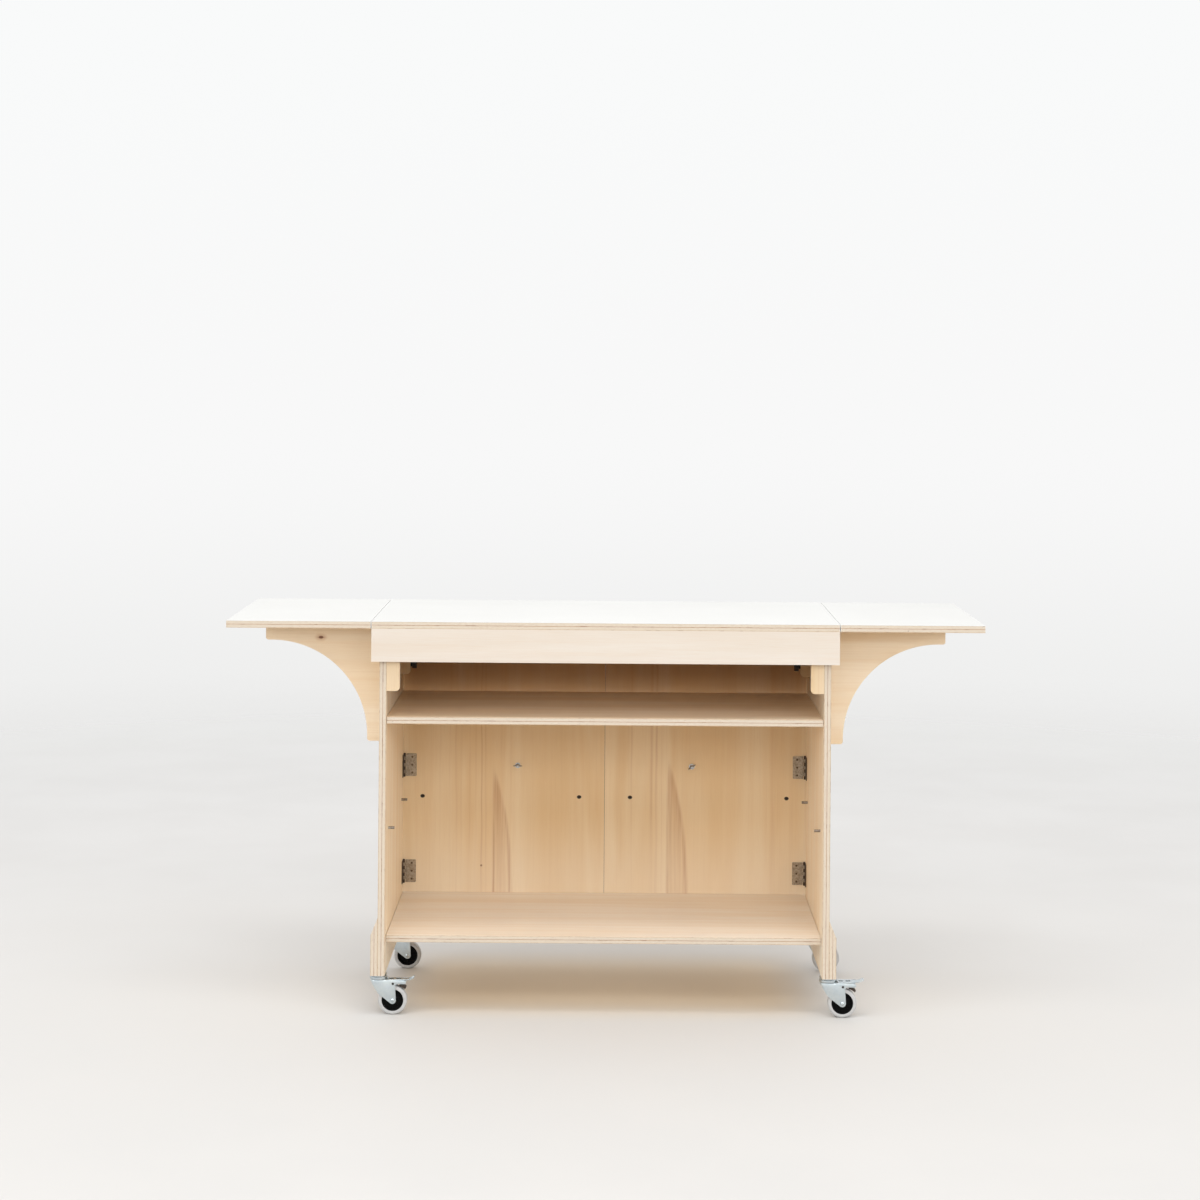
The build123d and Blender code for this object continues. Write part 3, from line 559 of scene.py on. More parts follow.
def arc(centre, radius, start, end, steps):
    """Points along an arc, with its angles in degrees."""
    points = []
    for index in range(steps + 1):
        turn = radians(start + (end - start) * index / steps)
        points.append((centre[0] + radius * cos(turn), centre[1] + radius * sin(turn)))
    return points


knot_x = -746.0
knot_z = 960.0


def pin_knot(tree, mm, face, edge):
    """A small dark knot with pointed ends."""
    x, y, z = add_node(tree, "SeparateXYZ", (mm,)).outputs
    off_x = add_node(tree, "Math", (x, knot_x), operation="SUBTRACT")
    off_x = add_node(tree, "Math", (off_x, 0.6), operation="MULTIPLY")
    off_z = add_node(tree, "Math", (z, knot_z), operation="SUBTRACT")
    away = distance(tree, off_x, off_z)
    beside = add_node(tree, "Math", (off_x,), operation="ABSOLUTE")
    beside = add_node(tree, "Math", (beside, 0.35), operation="MULTIPLY")
    above = add_node(tree, "Math", (off_z,), operation="ABSOLUTE")
    above = add_node(tree, "Math", (above, 1.6), operation="MULTIPLY")
    tail = add_node(tree, "Math", (beside, above), operation="ADD")
    face = laid_over(tree, face, away, (4.0, 13.0, 0.45, 0.0), "C08F5E")
    face = laid_over(tree, face, tail, (1.5, 4.0, 0.6, 0.0), "9C6A45")
    return laid_over(tree, face, away, (2.6, 4.6, 0.9, 0.0), "6E4027"), edge


bracket_nose = 47.0
bracket_foot = 43.0
bracket_foot_flat = 13.0
bracket_corner = 7.0
facing_front = placed((0, 0, 0), (1, 0, 0), (0, -1, 0))
for hand, side in (("left", -1), ("right", 1)):
    node = f"bracket_{hand}"
    low, high = box_mm(node)
    start, tip = sorted((abs(low[0]), abs(high[0])))
    curve_radius = high[2] - low[2] - bracket_nose - bracket_foot_flat
    curve_centre = (start + bracket_foot + curve_radius, high[2] - bracket_nose - curve_radius)
    tip_corner = (tip - bracket_corner, high[2] - bracket_nose + bracket_corner)
    foot_corner = (start + bracket_foot - bracket_corner, low[2] + bracket_corner)
    outline = [(start, low[2]), (start, high[2]), (tip, high[2])]
    outline += arc(tip_corner, bracket_corner, 0, -90, 8)
    outline += arc(curve_centre, curve_radius, 90, 180, 72)
    outline += arc(foot_corner, bracket_corner, 0, -90, 8)
    drawing = bmesh.new()
    prism(drawing, [(side * x, z) for x, z in outline], -high[1], -low[1], facing_front)
    tones = {"light": "F5E4CB", "dark": "F0D8B6", "figure": 0.7, "marks": pin_knot if side < 0 else None}
    material = board_material(node, 1, 0, 111.4 + side * 7, **tones)
    bracket = piece_from(drawing, f"bracket_board_{hand}", material)
    soften(bracket, board_softness)
    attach(bracket, f"bracket_{hand}")
    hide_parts(node)

# Guide blocks. Four short boards of golden plywood are screwed under the main top, inside the
# side panels, each with one rounded corner. The rear pair carries the clamp knobs.
guide_corner = 10.0
guide_width = 34.0
guide_thickness = 18.0
low, high = box_mm("guide_blocks")
for hand, side in (("left", -1), ("right", 1)):
    for end, front in (("front", low[1]), ("rear", high[1] - guide_thickness)):
        tip = high[0] - guide_width
        outline = [(high[0], low[2]), (high[0], high[2]), (tip, high[2])]
        outline += arc((tip + guide_corner, low[2] + guide_corner), guide_corner, 180, 270, 8)
        back = front + guide_thickness
        drawing = bmesh.new()
        prism(drawing, [(side * x, z) for x, z in outline], -back, -front, facing_front)
        name = f"guide_block_{end}_{hand}"
        seed = 131.7 + side * 5 + front / 50
        material = plywood(name + "_plywood", front, back, 1, 2, seed, "E6CFAE", "DEC298")
        guide = piece_from(drawing, name, material)
        soften(guide, board_softness)
        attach(guide, "carcass")
        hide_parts("guide_blocks")


# Shelf pegs. Turned steel pins with rounded ends, pushed into drilled holes. Their nickel plate
# is warm and a little dull.
def zinc_plate(name, tone, roughness):
    """Plated steel: faintly blue, with a spangle of 2 mm, which is coarser than the real one so
    that it shows, a cloud of 17 mm in its shine, and a fine roughness under half a millimetre."""
    material, tree, shader, mm, normal = new_material(name)
    spangle = add_node(tree, "TexVoronoi", {"Vector": mm, "Scale": 0.45}).outputs["Color"]
    cloud = add_node(tree, "TexNoise", {"Vector": mm, "Scale": 0.06, "Detail": 4.0})
    fine = add_node(tree, "TexNoise", {"Vector": mm, "Scale": 2.2, "Detail": 3.0})
    grey = add_node(tree, "SeparateColor", (spangle,)).outputs[0]
    tint = laid_over(tree, linear(tone), grey, (0.0, 1.0, 0.0, 0.25), "B2BFC6")
    limits = (0.3, 0.7, roughness - 0.06, roughness + 0.08)
    feed(tree, shader, {
        "Base Color": laid_over(tree, tint, cloud, (0.35, 0.7, 0.0, 0.3), "DADDD8"),
        "Metallic": 1.0,
        "Roughness": add_node(tree, "MapRange", (cloud, *limits), **smooth),
        "Normal": add_node(tree, "Bump", {"Height": fine, "Strength": 0.08, "Distance": 0.0003}),
    })
    return material


finish_node("shelf_pegs", zinc_plate("peg_nickel_plate", "86786A", 0.34), 0.7, 3)


# Butt hinges. Each has two pressed steel leaves with rounded corners, seven knuckles rolled from
# them in turn, a pin with a head at both ends, and three countersunk cross-head screws in each
# leaf. The moving leaves are browned, warm and mottled. The fixed ones are a darker copy of the same
# steel, as painted shade.
def browned_steel(name, low_tone, high_tone, metal):
    """Browned steel, with a mottle of 4 to 5 mm and a fine roughness over half a millimetre."""
    material, tree, shader, mm, normal = new_material(name)
    mottle = add_node(tree, "TexNoise", {"Vector": mm, "Scale": 0.22, "Detail": 6.0, "Roughness": 0.65})
    fine = add_node(tree, "TexNoise", {"Vector": mm, "Scale": 1.6, "Detail": 3.0})
    feed(tree, shader, {
        "Base Color": laid_over(tree, linear(low_tone), mottle, (0.35, 0.65), high_tone),
        "Metallic": metal,
        "Roughness": add_node(tree, "MapRange", (mottle, 0.3, 0.7, 0.38, 0.55), **smooth),
        "Normal": add_node(tree, "Bump", {"Height": fine, "Strength": 0.15, "Distance": 0.0003}),
    })
    return material


leaf_steel = browned_steel("browned_leaf_steel", "8D7E6C", "B5A793", 0.55)
# Painted shade: the fixed leaves take this darker copy of the browned steel.
shaded_leaf_steel = browned_steel("painted_shade_leaf_steel", "40342A", "5A4A3A", 0.55)
screw_steel = browned_steel("browned_screw_steel", "5C4835", "76604A", 0.5)

# The slots of the screws hold dust and shade, so they are matt and nearly black.
screw_slot, tree, shader, mm, normal = new_material("dark_screw_slot")
dust = add_node(tree, "TexNoise", {"Vector": mm, "Scale": 1 / 0.5})
slot_tone = add_node(tree, "Mix", {0: dust, 6: linear("17130F"), 7: linear("2A231D")}, **in_colour)
feed(tree, shader, {"Base Color": slot_tone, "Roughness": 0.8})

hinge_height = 65.0
hinge_half = hinge_height / 2
hinge_knuckles = 7
knuckle_radius = 3.0
knuckle_gap = 0.3
leaf_thickness = 2.0
leaf_corner = 2.5
leaf_trim = 1.0
pin_radius = 1.5
pin_offset = knuckle_radius + knuckle_gap
leaf_near = pin_offset - leaf_thickness
notch_depth = 1.7
screw_pitch = 22.0
screw_head_radius = 4.0
board_leaf = {"width": 33.5, "screw_inset": 12.0}
flap_leaf = {"width": 20.0, "screw_inset": 7.5}


def turned(drawing, profile, place, steps=64):
    """A profile of (radius, height) pairs turned round its place's Z. A closed profile gives a
    ring, and one that starts and ends at no radius gives a solid."""
    rings = []
    for radius, height in profile:
        if radius == 0:
            rings.append([drawing.verts.new(place @ Vector((0, 0, height)))])
            continue
        ring = []
        for index in range(steps):
            turn = 2 * pi * index / steps
            spot = Vector((radius * cos(turn), radius * sin(turn), height))
            ring.append(drawing.verts.new(place @ spot))
        rings.append(ring)
    pairs = list(zip(rings, rings[1:]))
    if profile[0][0] and profile[-1][0]:
        pairs.append((rings[-1], rings[0]))
    for lower, upper in pairs:
        for index in range(steps):
            after = (index + 1) % steps
            corners = [lower[index % len(lower)], lower[after % len(lower)]]
            corners += [upper[after % len(upper)], upper[index % len(upper)]]
            drawing.faces.new(list(dict.fromkeys(corners)))


def hinge_leaf(drawing, place, width, first_knuckle):
    """A leaf with every second knuckle. The place's Z is the pin, X runs out along the leaf and
    Y faces the board that it is screwed to."""
    limit = hinge_half - leaf_trim
    root = pin_offset - 0.5
    length = (hinge_height - (hinge_knuckles - 1) * knuckle_gap) / hinge_knuckles
    outline = []
    for index in range(hinge_knuckles):
        start = index * (length + knuckle_gap) - hinge_half
        end = start + length
        if index % 2 == first_knuckle:
            outline += [(root, max(start, -limit)), (root, min(end, limit))]
            curl = [(pin_offset, leaf_near + leaf_thickness - knuckle_gap), (1.0, knuckle_radius - 0.05)]
            curl += arc((0, 0), knuckle_radius, 80, 385, 30)
            prism(drawing, curl, start, end, place)
        else:
            notch = root + notch_depth
            outline += [(notch, max(start - knuckle_gap, -limit)), (notch, min(end + knuckle_gap, limit))]
    outline += arc((width - leaf_corner, limit - leaf_corner), leaf_corner, 90, 0, 6)
    outline += arc((width - leaf_corner, -limit + leaf_corner), leaf_corner, 0, -90, 6)
    flat = place @ placed((0, leaf_near, 0), (1, 0, 0), (0, -1, 0))
    prism(drawing, outline, -leaf_thickness, 0.0, flat)


def hinge_screws(heads, crosses, place, reach):
    """Three countersunk heads with a cross in each, set flush in the leaf."""
    head = [(0, 0.12), (screw_head_radius * 0.7, 0.1), (screw_head_radius, -0.05)]
    head += [(screw_head_radius * 0.6, -1.2), (0, -1.2)]
    for step in (-screw_pitch, 0, screw_pitch):
        seat = place @ placed((reach, leaf_near + 0.05, step), (1, 0, 0), (0, -1, 0))
        turned(heads, head, seat, 28)
        for tilt in (25, 115):
            arm = seat @ Matrix.Rotation(radians(tilt), 4, "Z")
            block(crosses, (-2.1, -0.35, 0.05), (2.1, 0.35, 0.19), arm)


def hinge_pin(drawing, place):
    """The pin with a low dome at each end."""
    upper = [(pin_radius, hinge_half), (2.3, hinge_half), (2.0, hinge_half + 0.6), (0, hinge_half + 0.9)]
    turned(drawing, [(radius, -height) for radius, height in reversed(upper)] + upper, place, 24)


def hinge_middles(node, axis):
    """The middles of two hinges, from the box of the CAD leaves of both."""
    low, high = box_mm(node)
    return low[axis] + hinge_half, high[axis] - hinge_half


panel_low, panel_high = box_mm("side_panel_right")
flap_low = box_mm("flap_right")[0]
door_pin = (panel_low[0] - pin_offset, box_mm("rear_door_right")[0][1] - pin_offset)
bracket_pin = (panel_high[0] + pin_offset, box_mm("bracket_right")[1][1] + pin_offset)
flap_pin_x = (flap_low[0] + box_mm("main_top")[1][0]) / 2
flap_pin_z = flap_low[2] - pin_offset

# Each kind of hinge: its leaf, the CAD node of its fixed leaves, the middles of its pins, and
# for its fixed and moving leaves the way they run out and the way along the pin.
hinge_kinds = (
    ("door", board_leaf, "butt_hinge_leaves",
     [(*door_pin, z) for z in hinge_middles("door_hinge_right", 2)],
     ((0, -1, 0), (0, 0, 1)), ((-1, 0, 0), (0, 0, -1))),
    ("bracket", board_leaf, "butt_hinge_leaves",
     [(*bracket_pin, z) for z in hinge_middles("bracket_hinge_right", 2)],
     ((0, 1, 0), (0, 0, 1)), ((1, 0, 0), (0, 0, -1))),
    ("flap", flap_leaf, "flap_hinge_leaves",
     [(flap_pin_x, y, flap_pin_z) for y in hinge_middles("flap_hinge_right", 1)],
     ((-1, 0, 0), (0, 1, 0)), ((1, 0, 0), (0, -1, 0))),
)
for hand, side in (("left", -1), ("right", 1)):
    flip = Matrix.Scale(side, 4, (1, 0, 0))
    for kind, sizes, fixed_node, middles, fixed_way, moving_way in hinge_kinds:
        for part, owner, way, first, node, steel in (
            ("fixed", "carcass", fixed_way, 0, fixed_node, shaded_leaf_steel),
            ("moving", f"{kind}_{hand}", moving_way, 1, f"{kind}_hinge_{hand}", leaf_steel),
        ):
            leaves, heads, crosses = bmesh.new(), bmesh.new(), bmesh.new()
            for middle in middles:
                place = flip @ placed(middle, *way)
                hinge_leaf(leaves, place, sizes["width"], first)
                hinge_screws(heads, crosses, place, sizes["width"] - sizes["screw_inset"])
                if part == "fixed":
                    hinge_pin(leaves, place)
            leaf = piece_from(leaves, f"{kind}_hinge_{part}_leaves_{hand}", steel)
            soften(leaf, 0.25)
            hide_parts(node)
            screws = piece_from(heads, f"{kind}_hinge_{part}_screws_{hand}", screw_steel)
            slots = piece_from(crosses, f"{kind}_hinge_{part}_crosses_{hand}", screw_slot)
            for piece in (leaf, screws, slots):
                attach(piece, owner)


# Clamp knobs. Each is moulded in black plastic, five rounded lobes on a round neck, round the
# end of a zinc-plated stud that runs through the guide block. The plastic has a fine satin grain.
def moulded_plastic(name, scale, low_tone, high_tone, roughness, shine=0.5):
    """Black plastic with a grain of under a millimetre, as the mould leaves it."""
    material, tree, shader, mm, normal = new_material(name)
    grain = add_node(tree, "TexNoise", {"Vector": mm, "Scale": scale, "Detail": 4.0})
    tones = {0: grain, 6: linear(low_tone), 7: linear(high_tone)}
    feed(tree, shader, {
        "Base Color": add_node(tree, "Mix", tones, **in_colour),
        "Specular IOR Level": shine,
        "Roughness": add_node(tree, "MapRange", (grain, 0.3, 0.7, roughness, roughness + 0.12), **smooth),
        "Normal": add_node(tree, "Bump", {"Height": grain, "Strength": 0.2, "Distance": 0.0002}),
    })
    return material


knob_plastic = moulded_plastic("moulded_black_knob", 1.2, "141414", "1F1F20", 0.4)
bolt_zinc = zinc_plate("bolt_zinc_plate", "B9BABB", 0.3)
knob_y = 75.0
knob_z = 868.0
knob_lobes = 5
knob_radius = 16.0
lobe_radius = 5.76
knob_thickness = 12.0
neck_radius = 10.0
neck_start = 11.0
neck_end = 16.0
stud_radius = 4.0
stud_root = 3.4
stud_pitch = 1.25
knob_outline = []
for lobe in range(knob_lobes):
    middle = 360 * lobe / knob_lobes
    spread = knob_radius - lobe_radius
    lobe_centre = (cos(radians(middle)) * spread, sin(radians(middle)) * spread)
    knob_outline += arc(lobe_centre, lobe_radius, middle - 75, middle + 75, 12)
neck_profile = [(0, neck_start), (neck_radius, neck_start), (neck_radius, neck_end), (0, neck_end)]
for hand, side in (("left", -1), ("right", 1)):
    node = f"clamp_knob_{hand}"
    low, high = box_mm(node)
    inner, outer = sorted((low[0], high[0]), key=abs)
    head = placed((inner, knob_y, knob_z), (0, 1, 0), (side, 0, 0))
    drawing = bmesh.new()
    prism(drawing, knob_outline, 0.0, knob_thickness, head)
    turned(drawing, neck_profile, head, 40)
    turned(drawing, [(0, -0.4), (4.6, -0.4), (5.0, 0.3), (0, 0.3)], head, 32)
    knob = piece_from(drawing, f"clamp_knob_head_{hand}", knob_plastic, 50)
    soften(knob, 1.2, 3, 50)

    stud_end = abs(outer - inner)
    threads = [(0, neck_end)]
    for turn in range(int((stud_end - neck_end) / stud_pitch)):
        at = neck_end + turn * stud_pitch
        threads += [(stud_root, at)] + [(stud_radius, at + stud_pitch * share) for share in (0.45, 0.55)]
    threads += [(stud_root, stud_end), (0, stud_end)]
    drawing = bmesh.new()
    turned(drawing, threads, head, 28)
    stud = piece_from(drawing, f"clamp_stud_thread_{hand}", bolt_zinc, 30)
    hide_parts(node)
    for piece, finish in ((knob, "black_knob"), (stud, "zinc_steel")):
        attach(piece, f"clamp_knob_{hand}")

# Wing nuts and bolts. A wing nut whose plating has dulled sits on each door's bolt, over a
# washer. The bolt's thread stays brighter, and its countersunk head, at the back of the door,
# has a hexagon socket.
nut_zinc = zinc_plate("dulled_nut_zinc_plate", "8E8A84", 0.36)
wing_level = 558.0
wing_x = 243.0
nut_radius = 5.5
nut_length = 8.0
nut_bore = 3.1
washer_radius = 7.6
bolt_radius = 3.0
bolt_root = 2.5
bolt_start = -17.0
bolt_turns = 30
nut_profile = [
    (nut_bore, 0.5), (nut_radius, 0.5), (nut_radius + 0.2, 1.2), (nut_radius * 0.8, nut_length - 0.6),
    (nut_radius * 0.72, nut_length), (nut_bore, nut_length),
]
wing = [(nut_radius * 0.55, 1.5), (nut_radius + 0.3, 1.5), (9.0, 5.4)]
wing += arc((9.8, 9.4), 2.7, -75, 95, 12)
wing += [(7.4, 11.2), (nut_radius * 0.6, nut_length - 0.5)]
bolt_threads = [(0, bolt_start), (bolt_root, bolt_start)]
for turn in range(bolt_turns):
    at = bolt_start + 1.0 + turn
    bolt_threads += [(bolt_root, at - 0.5), (bolt_radius, at - 0.1), (bolt_radius, at + 0.1)]
bolt_threads += [(bolt_root, 13.5), (2.2, 14.0), (0, 14.0)]
bolt_head = [(2.0, -2.2), (2.0, -0.05), (6.2, -0.05), (6.4, -0.3), (bolt_radius, -3.6), (2.0, -3.6)]
hexagon_socket = [(0, -2.2), (2.02, -2.2), (2.02, -2.6), (0, -2.6)]
washer_profile = [(nut_bore, 0.02), (washer_radius, 0.02), (washer_radius, 0.28), (nut_bore, 0.28)]
for hand, side, tilt in (("left", -1, 0.0), ("right", 1, 35.0)):
    low, high = box_mm(f"rear_door_{hand}")
    across = (cos(radians(tilt)), 0, sin(radians(tilt)))
    place = placed((side * wing_x, low[1], wing_level), across, (0, -1, 0))
    drawing = bmesh.new()
    turned(drawing, nut_profile, place, 40)
    for turn in (0, 180):
        prism(drawing, wing, -1.1, 1.1, place @ Matrix.Rotation(radians(turn), 4, "Z") @ facing_front)
    nut = piece_from(drawing, f"wing_nut_body_{hand}", nut_zinc, 40)
    soften(nut, 0.5)
    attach(nut, f"wing_nut_{hand}")
    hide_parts(f"wing_nut_{hand}")

    straight = placed((side * wing_x, low[1], wing_level), (1, 0, 0), (0, -1, 0))
    back = placed((side * wing_x, high[1], wing_level), (1, 0, 0), (0, 1, 0))
    drawing = bmesh.new()
    turned(drawing, bolt_threads, straight, 28)
    turned(drawing, bolt_head, back, 40)
    turned(drawing, hexagon_socket, back, 6)
    bolt = piece_from(drawing, f"wing_bolt_shank_{hand}", bolt_zinc, 30)
    drawing = bmesh.new()
    turned(drawing, washer_profile, straight, 40)
    washer = piece_from(drawing, f"wing_bolt_washer_{hand}", bolt_zinc, 30)
    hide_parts(f"wing_bolt_{hand}")
    for piece in (bolt, washer):
        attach(piece, f"door_{hand}")

# Castors. Each hangs under a foot from a bearing cap: a fork pressed from zinc-plated sheet,
# with a rounded hood, raked back to its riveted axle, and a wheel. The fork's plate is bright
# but dulled by handling, and that of the cap, the rivet and the pedals shines more.
castor_zinc = zinc_plate("castor_zinc_plate", "CCD6DB", 0.36)
bright_zinc = zinc_plate("bright_zinc_plate", "BEC8CE", 0.2)

# The hub is ribbed, moulded in matt black plastic, and shows as almost pure black.
hub_plastic = moulded_plastic("moulded_black_hub", 1.5, "020202", "080808", 0.5, 0.1)

# The tyre is pale grey non-marking rubber, scuffed in patches of about 7 mm. Its fine grain is
# a third of a millimetre.
tyre_rubber, tree, shader, mm, normal = new_material("pale_grey_tyre_rubber")
scuff = add_node(tree, "TexNoise", {"Vector": mm, "Scale": 0.15, "Detail": 6.0, "Roughness": 0.7})
fine = add_node(tree, "TexNoise", {"Vector": mm, "Scale": 3.0, "Detail": 3.0})
feed(tree, shader, {
    "Base Color": laid_over(tree, linear("C5C5C5"), scuff, (0.4, 0.75, 0.0, 0.6), "B1B0AE"),
    "Roughness": add_node(tree, "MapRange", (fine, 0.3, 0.7, 0.55, 0.7), **smooth),
    "Normal": add_node(tree, "Bump", {"Height": fine, "Strength": 0.2, "Distance": 0.0003}),
})

castor_x = 580.0
castor_y = 243.0
castor_trail = 37.0
wheel_radius = 37.5
leg_outer = 15.0
leg_inner = 12.5
nose_back = 21.0
nose_centre = leg_outer - nose_back
nose_steps = 32
crown_top = 90.7
crown_under = 88.2
crown_reach = 22.0
knee_height = 55.0
boss_radius = 9.0
arm_reach = 72.0
shoulder_height = 79.4
shoulder_bend = 4.0
shoulder_start = crown_top - shoulder_bend
throat_x = castor_trail + boss_radius - 2.0
throat_radius = 7.0
pedal_x = 38.0
pedal_z = 80.4


def mirrored(half):
    """A profile of (radius, height) pairs carried on to the other side of the wheel's middle."""
    return half + [(radius, -height) for radius, height in reversed(half)]


def rake_height(x):
    """Height of the fork's raked lower edge below the nose."""
    slope = (crown_under - knee_height) / nose_back
    return crown_under - (x + nose_back) * slope


def leg_outline(braked):
    """Outline of one leg behind the nose, below the hood's shoulder."""
    axle = (castor_trail, wheel_radius)
    away = atan2(knee_height - axle[1], -axle[0])
    touch = away + acos(boss_radius / hypot(axle[0], knee_height - axle[1]))
    outline = [(nose_centre, shoulder_start), (nose_centre, rake_height(nose_centre)), (0.0, knee_height)]
    outline += arc(axle, boss_radius, degrees(touch), 360, 24)
    if braked:
        throat = (throat_x + throat_radius, shoulder_height - throat_radius)
        outline += arc(throat, throat_radius, 176, 90, 8)
        outline += arc((arm_reach - 3.0, shoulder_height + 3.0), 3.0, -90, 0, 5)
        outline += [(arm_reach, crown_top - 4.0), (arm_reach - 8.0, crown_top - 2.6)]
        outline += [(crown_reach + 6.0, crown_top - 0.5)]
    else:
        outline += [(throat_x, shoulder_height)]
    return outline + [(crown_reach, crown_top - 0.2), (crown_reach, shoulder_start)]


def fork_sheet(braked):
    """The fork's outer skin: a rounded nose and a flat crown that turn down over a soft
    shoulder, and a leg on each side. It is given its thickness afterwards."""
    drawing = bmesh.new()
    stations = [(crown_reach, 0.0, -1.0), (nose_centre, 0.0, -1.0)]
    for index in range(nose_steps + 1):
        turn = radians(-90 - 180 * index / nose_steps)
        stations.append((nose_centre, cos(turn), sin(turn)))
    stations += [(nose_centre, 0.0, 1.0), (crown_reach, 0.0, 1.0)]
    columns = []
    for index, (x, out_x, out_y) in enumerate(stations):
        bottom = shoulder_start
        if 1 < index < len(stations) - 2:
            bottom = min(rake_height(x + out_x * leg_outer), shoulder_start - 1.5)
        profile = [(leg_outer, bottom), (leg_outer, shoulder_start)]
        for turn in (18, 36, 54, 72, 90):
            reach = leg_outer - shoulder_bend + shoulder_bend * cos(radians(turn))
            profile.append((reach, shoulder_start + shoulder_bend * sin(radians(turn))))
        profile.append((0.0, crown_top))
        columns.append([drawing.verts.new((x + out_x * r, out_y * r, z)) for r, z in profile])
    for first, second in zip(columns, columns[1:]):
        for row in range(len(first) - 1):
            corners = (first[row], second[row], second[row + 1], first[row + 1])
            spots = {tuple(round(value, 4) for value in corner.co) for corner in corners}
            if len(spots) == 4:
                drawing.faces.new(corners)
            elif len(spots) == 3 and row == len(first) - 2:
                drawing.faces.new((first[row], second[row], second[row + 1]))
    for out_y in (-leg_outer, leg_outer):
        drawing.faces.new([drawing.verts.new((x, out_y, z)) for x, z in leg_outline(braked)])
    bmesh.ops.remove_doubles(drawing, verts=drawing.verts, dist=0.001)
    return drawing


def sheet_piece(drawing, place, name, material, thickness, width_mm):
    """A pressing: a skin moved to its place and thickened inward, with soft edges."""
    bmesh.ops.transform(drawing, matrix=place, verts=drawing.verts)
    pressing = piece_from(drawing, name, material, 40)
    thicken = pressing.modifiers.new("sheet_thickness", "SOLIDIFY")
    thicken.thickness = thickness / 1000
    thicken.offset = -1
    thicken.use_even_offset = True
    soften(pressing, width_mm, 2, 50)
    return pressing


# Profiles of the turned parts, as radius and height.
rivet_profile = mirrored([
    (0, -17.6), (2.2, -17.5), (2.6, -17.0), (4.6, -16.4), (5.2, -15.0), (4.0, -15.0),
])
hub_profile = mirrored([
    (4.05, -12.2), (8.0, -12.2), (10.0, -11.6), (10.6, -9.0), (12.0, -8.0), (21.5, -7.6), (23.4, -9.2),
    (24.2, -11.4), (24.8, -11.8), (27.6, -11.8), (28.0, -11.4),
])
tread = [(28.02, -11.6), (29.0, -11.9), (32.8, -11.9)]
for turn in (8, 25, 42, 59, 76):
    tread.append((32.9 + 4.4 * sin(radians(turn)), -7.4 - 4.4 * cos(radians(turn))))
tread.append((37.4, -5.0))
tyre_profile = tread + [(wheel_radius, 0.0)] + mirrored(tread)[len(tread):]
cap_profile = [
    (0, 106.0), (20.9, 106.0), (21.4, 105.5), (21.6, 101.4), (21.2, 100.6), (20.2, 100.2), (20.2, 99.2),
    (21.2, 98.8), (22.2, 98.0), (22.5, 96.4), (22.5, 92.6), (22.0, 91.6), (21.0, 91.1), (5.0, 91.1),
    (5.0, 88.0), (8.6, 87.9), (8.9, 86.6), (8.0, 85.5), (0, 85.3),
]
hub_ribs = 8
for end, row in (("front", -1), ("rear", 1)):
    for hand, side in (("left", -1), ("right", 1)):
        braked = end == "front"
        label = f"{end}_{hand}"
        place = Matrix.Translation((side * castor_x, row * castor_y, 0))
        axle_place = place @ placed((castor_trail, 0, wheel_radius), (1, 0, 0), (0, 1, 0))
        name = f"fork_pressing_{label}"
        fork = sheet_piece(fork_sheet(braked), place, name, castor_zinc, leg_outer - leg_inner, 0.4)
        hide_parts(f"castor_fork_{label}")
        drawing = bmesh.new()
        turned(drawing, rivet_profile, axle_place, 40)
        fork_pieces = [fork, piece_from(drawing, f"axle_rivet_{label}", bright_zinc, 40)]
        if braked:
            pin_place = place @ placed((pedal_x, 0, pedal_z), (1, 0, 0), (0, 1, 0))
            drawing = bmesh.new()
            for low, high in ((-15.5, -15.02), (15.02, 15.5)):
                head = [(0, low), (2.7, low), (3.1, (low + high) / 2), (2.7, high), (0, high)]
                turned(drawing, head, pin_place, 32)
            fork_pieces.append(piece_from(drawing, f"pedal_pin_heads_{label}", screw_slot, 40))
        for piece in fork_pieces:
            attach(piece, f"swivel_{label}")

        drawing = bmesh.new()
        turned(drawing, hub_profile, axle_place, 96)
        for rib in range(hub_ribs):
            spoke = axle_place @ Matrix.Rotation(2 * pi * rib / hub_ribs, 4, "Z")
            block(drawing, (9.5, -0.8, -9.6), (23.6, 0.8, 9.6), spoke)
        hub = piece_from(drawing, f"hub_moulding_{label}", hub_plastic, 40)
        drawing = bmesh.new()
        turned(drawing, tyre_profile, axle_place, 128)
        tyre = piece_from(drawing, f"tyre_ring_{label}", tyre_rubber, 50)
        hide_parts(f"castor_hub_{label}")
        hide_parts(f"castor_tyre_{label}")
        for piece in (hub, tyre):
            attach(piece, f"wheel_{label}")

        drawing = bmesh.new()
        turned(drawing, cap_profile, place, 72)
        bearing = piece_from(drawing, f"bearing_cap_{label}", bright_zinc, 40)
        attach(bearing, "carcass")
        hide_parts("castor_heads")

# Brake pedals. One bright pressing lies between the arms of each front fork: a plate with two
# windows, a flange down each side that turns on the pin, and a curled tip with ribs for the
# foot. A shoe of dull dark brown rubber fills its underside over the tyre.
shoe_rubber, tree, shader, mm, normal = new_material("dark_brake_rubber")
fine = add_node(tree, "TexNoise", {"Vector": mm, "Scale": 1.5, "Detail": 4.0})
brown = add_node(tree, "Mix", {0: fine, 6: linear("2A2019"), 7: linear("3E3025")}, **in_colour)
feed(tree, shader, {"Base Color": brown, "Roughness": 0.65})

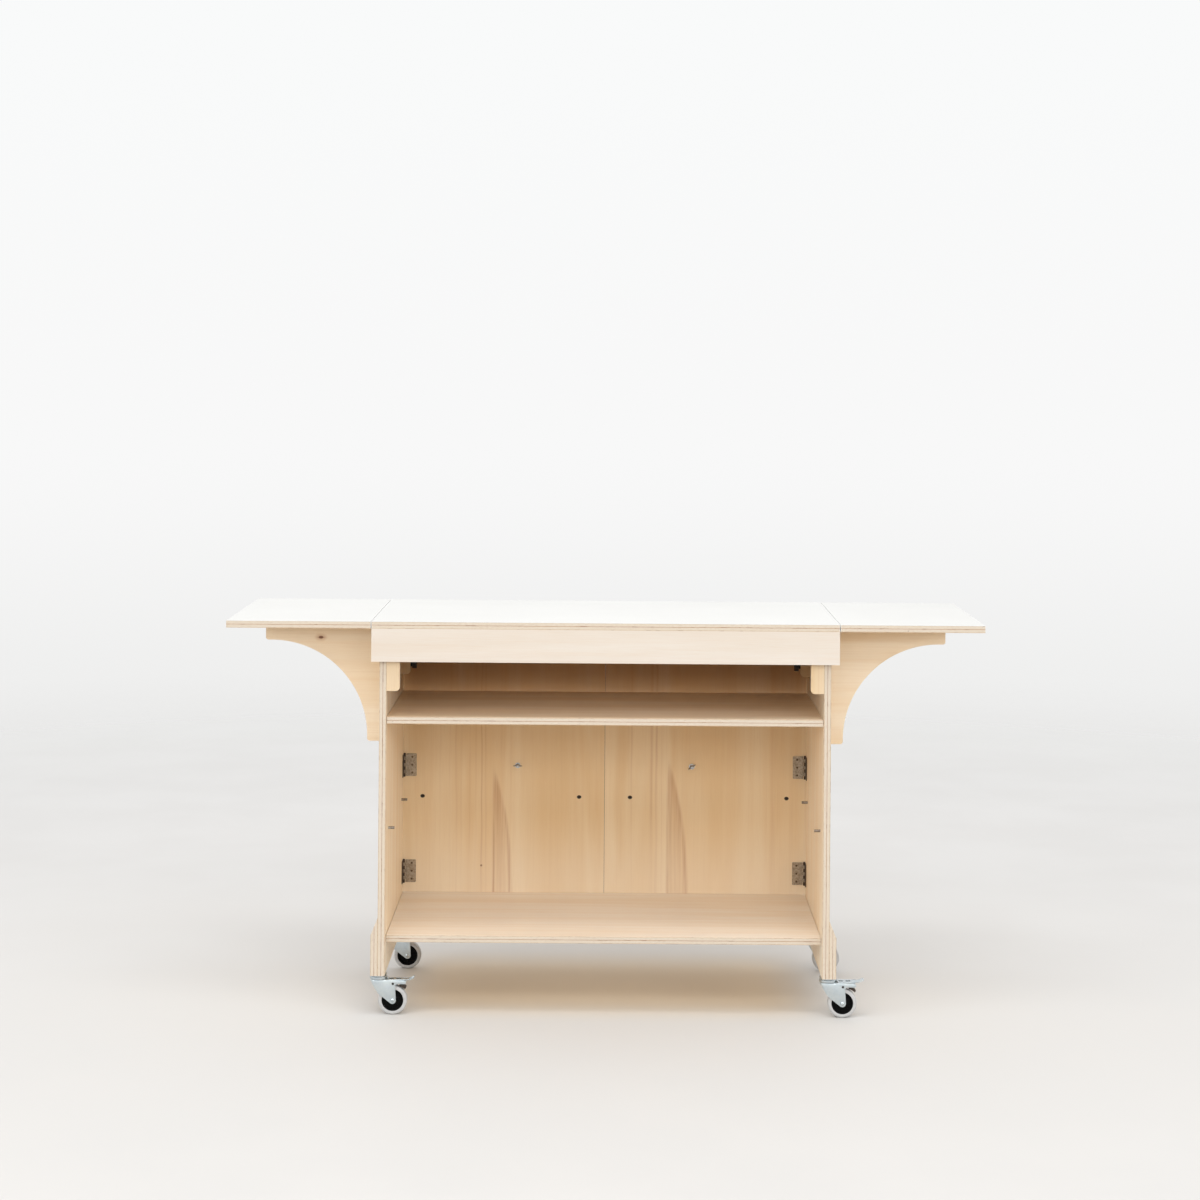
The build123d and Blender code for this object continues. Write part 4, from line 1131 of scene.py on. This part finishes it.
pedal_half = 12.2
plate_under = 89.0
plate_top = 91.2
plate_columns = (24.5, 28.0, 39.0, 46.0, 58.0, 70.0)
plate_windows = (1, 3)
rail_width = 6.0
tip_curve = ((76.0, 91.4), (81.0, 92.2), (86.0, 93.9), (91.2, 96.2), (92.6, 96.5))
tip_rib = (
    (77.0, 91.3), (81.0, 92.8), (86.0, 94.6), (90.6, 96.7), (90.8, 95.4), (86.0, 93.2), (81.0, 91.6),
    (77.0, 91.0),
)
rib_half = 0.8
shoe_half = 9.6
shoe_gap = 0.5
shoe_depth = 6.3
press = radians(8)


def pedal_sheet():
    """The pedal's upper skin and its two flanges. It is given its thickness afterwards."""
    drawing = bmesh.new()
    lanes = (-pedal_half, rail_width - pedal_half, pedal_half - rail_width, pedal_half)
    profile = [(x, plate_top) for x in plate_columns] + list(tip_curve)
    grid = [[drawing.verts.new((x, y, z)) for y in lanes] for x, z in profile]
    for column in range(len(profile) - 1):
        for lane in range(3):
            if not (lane == 1 and column in plate_windows):
                here, ahead = grid[column], grid[column + 1]
                drawing.faces.new((here[lane], ahead[lane], ahead[lane + 1], here[lane + 1]))
    flange = [(70.0, 87.0), (56.0, 87.0), (50.0, 78.5)]
    flange += arc((pedal_x, pedal_z), 4.0, 290, 190, 8) + [(34.0, 79.4), (24.5, 88.6)]
    for lane, y in ((0, -pedal_half), (3, pedal_half)):
        top_edge = [grid[column][lane] for column in range(len(plate_columns))]
        drawing.faces.new(top_edge + [drawing.verts.new((x, y, z)) for x, z in flange])
    return drawing


# The shoe is hollowed to meet the tyre once the pedal is pressed, so its arc is drawn round the
# axle as it lies from the pressed pedal.
drop = Vector((castor_trail - pedal_x, wheel_radius - pedal_z))
hollow_x = pedal_x + drop.x * cos(press) - drop.y * sin(press)
hollow_z = pedal_z + drop.x * sin(press) + drop.y * cos(press)
shoe_outline = arc((hollow_x, hollow_z), wheel_radius + shoe_gap, 74, 46, 12)
shoe_outline += arc((hollow_x, hollow_z), wheel_radius + shoe_depth, 48, 72, 10)
for hand, side in (("left", -1), ("right", 1)):
    place = Matrix.Translation((side * castor_x, -castor_y, 0))
    upright = place @ facing_front
    pin_place = place @ placed((pedal_x, 0, pedal_z), (1, 0, 0), (0, 1, 0))
    name = f"pedal_pressing_{hand}"
    pedal = sheet_piece(pedal_sheet(), place, name, bright_zinc, plate_top - plate_under, 0.5)
    drawing = bmesh.new()
    for middle in (-8.0, -2.7, 2.7, 8.0):
        prism(drawing, tip_rib, middle - rib_half, middle + rib_half, upright)
    ribs = piece_from(drawing, f"pedal_ribs_{hand}", castor_zinc, 40)
    soften(ribs, 0.25)
    drawing = bmesh.new()
    turned(drawing, [(0, -14.9), (2.35, -14.9), (2.35, 14.9), (0, 14.9)], pin_place, 32)
    pin = piece_from(drawing, f"pedal_pin_{hand}", castor_zinc, 40)
    drawing = bmesh.new()
    prism(drawing, shoe_outline, -shoe_half, shoe_half, upright)
    block(drawing, (27.5, 84.0, -shoe_half), (59.5, 88.6, shoe_half), upright)
    shoe = piece_from(drawing, f"brake_shoe_{hand}", shoe_rubber, 40)
    soften(shoe, 0.6)
    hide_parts(f"brake_pedal_{hand}")
    for piece in (pedal, ribs, pin, shoe):
        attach(piece, f"brake_{hand}")
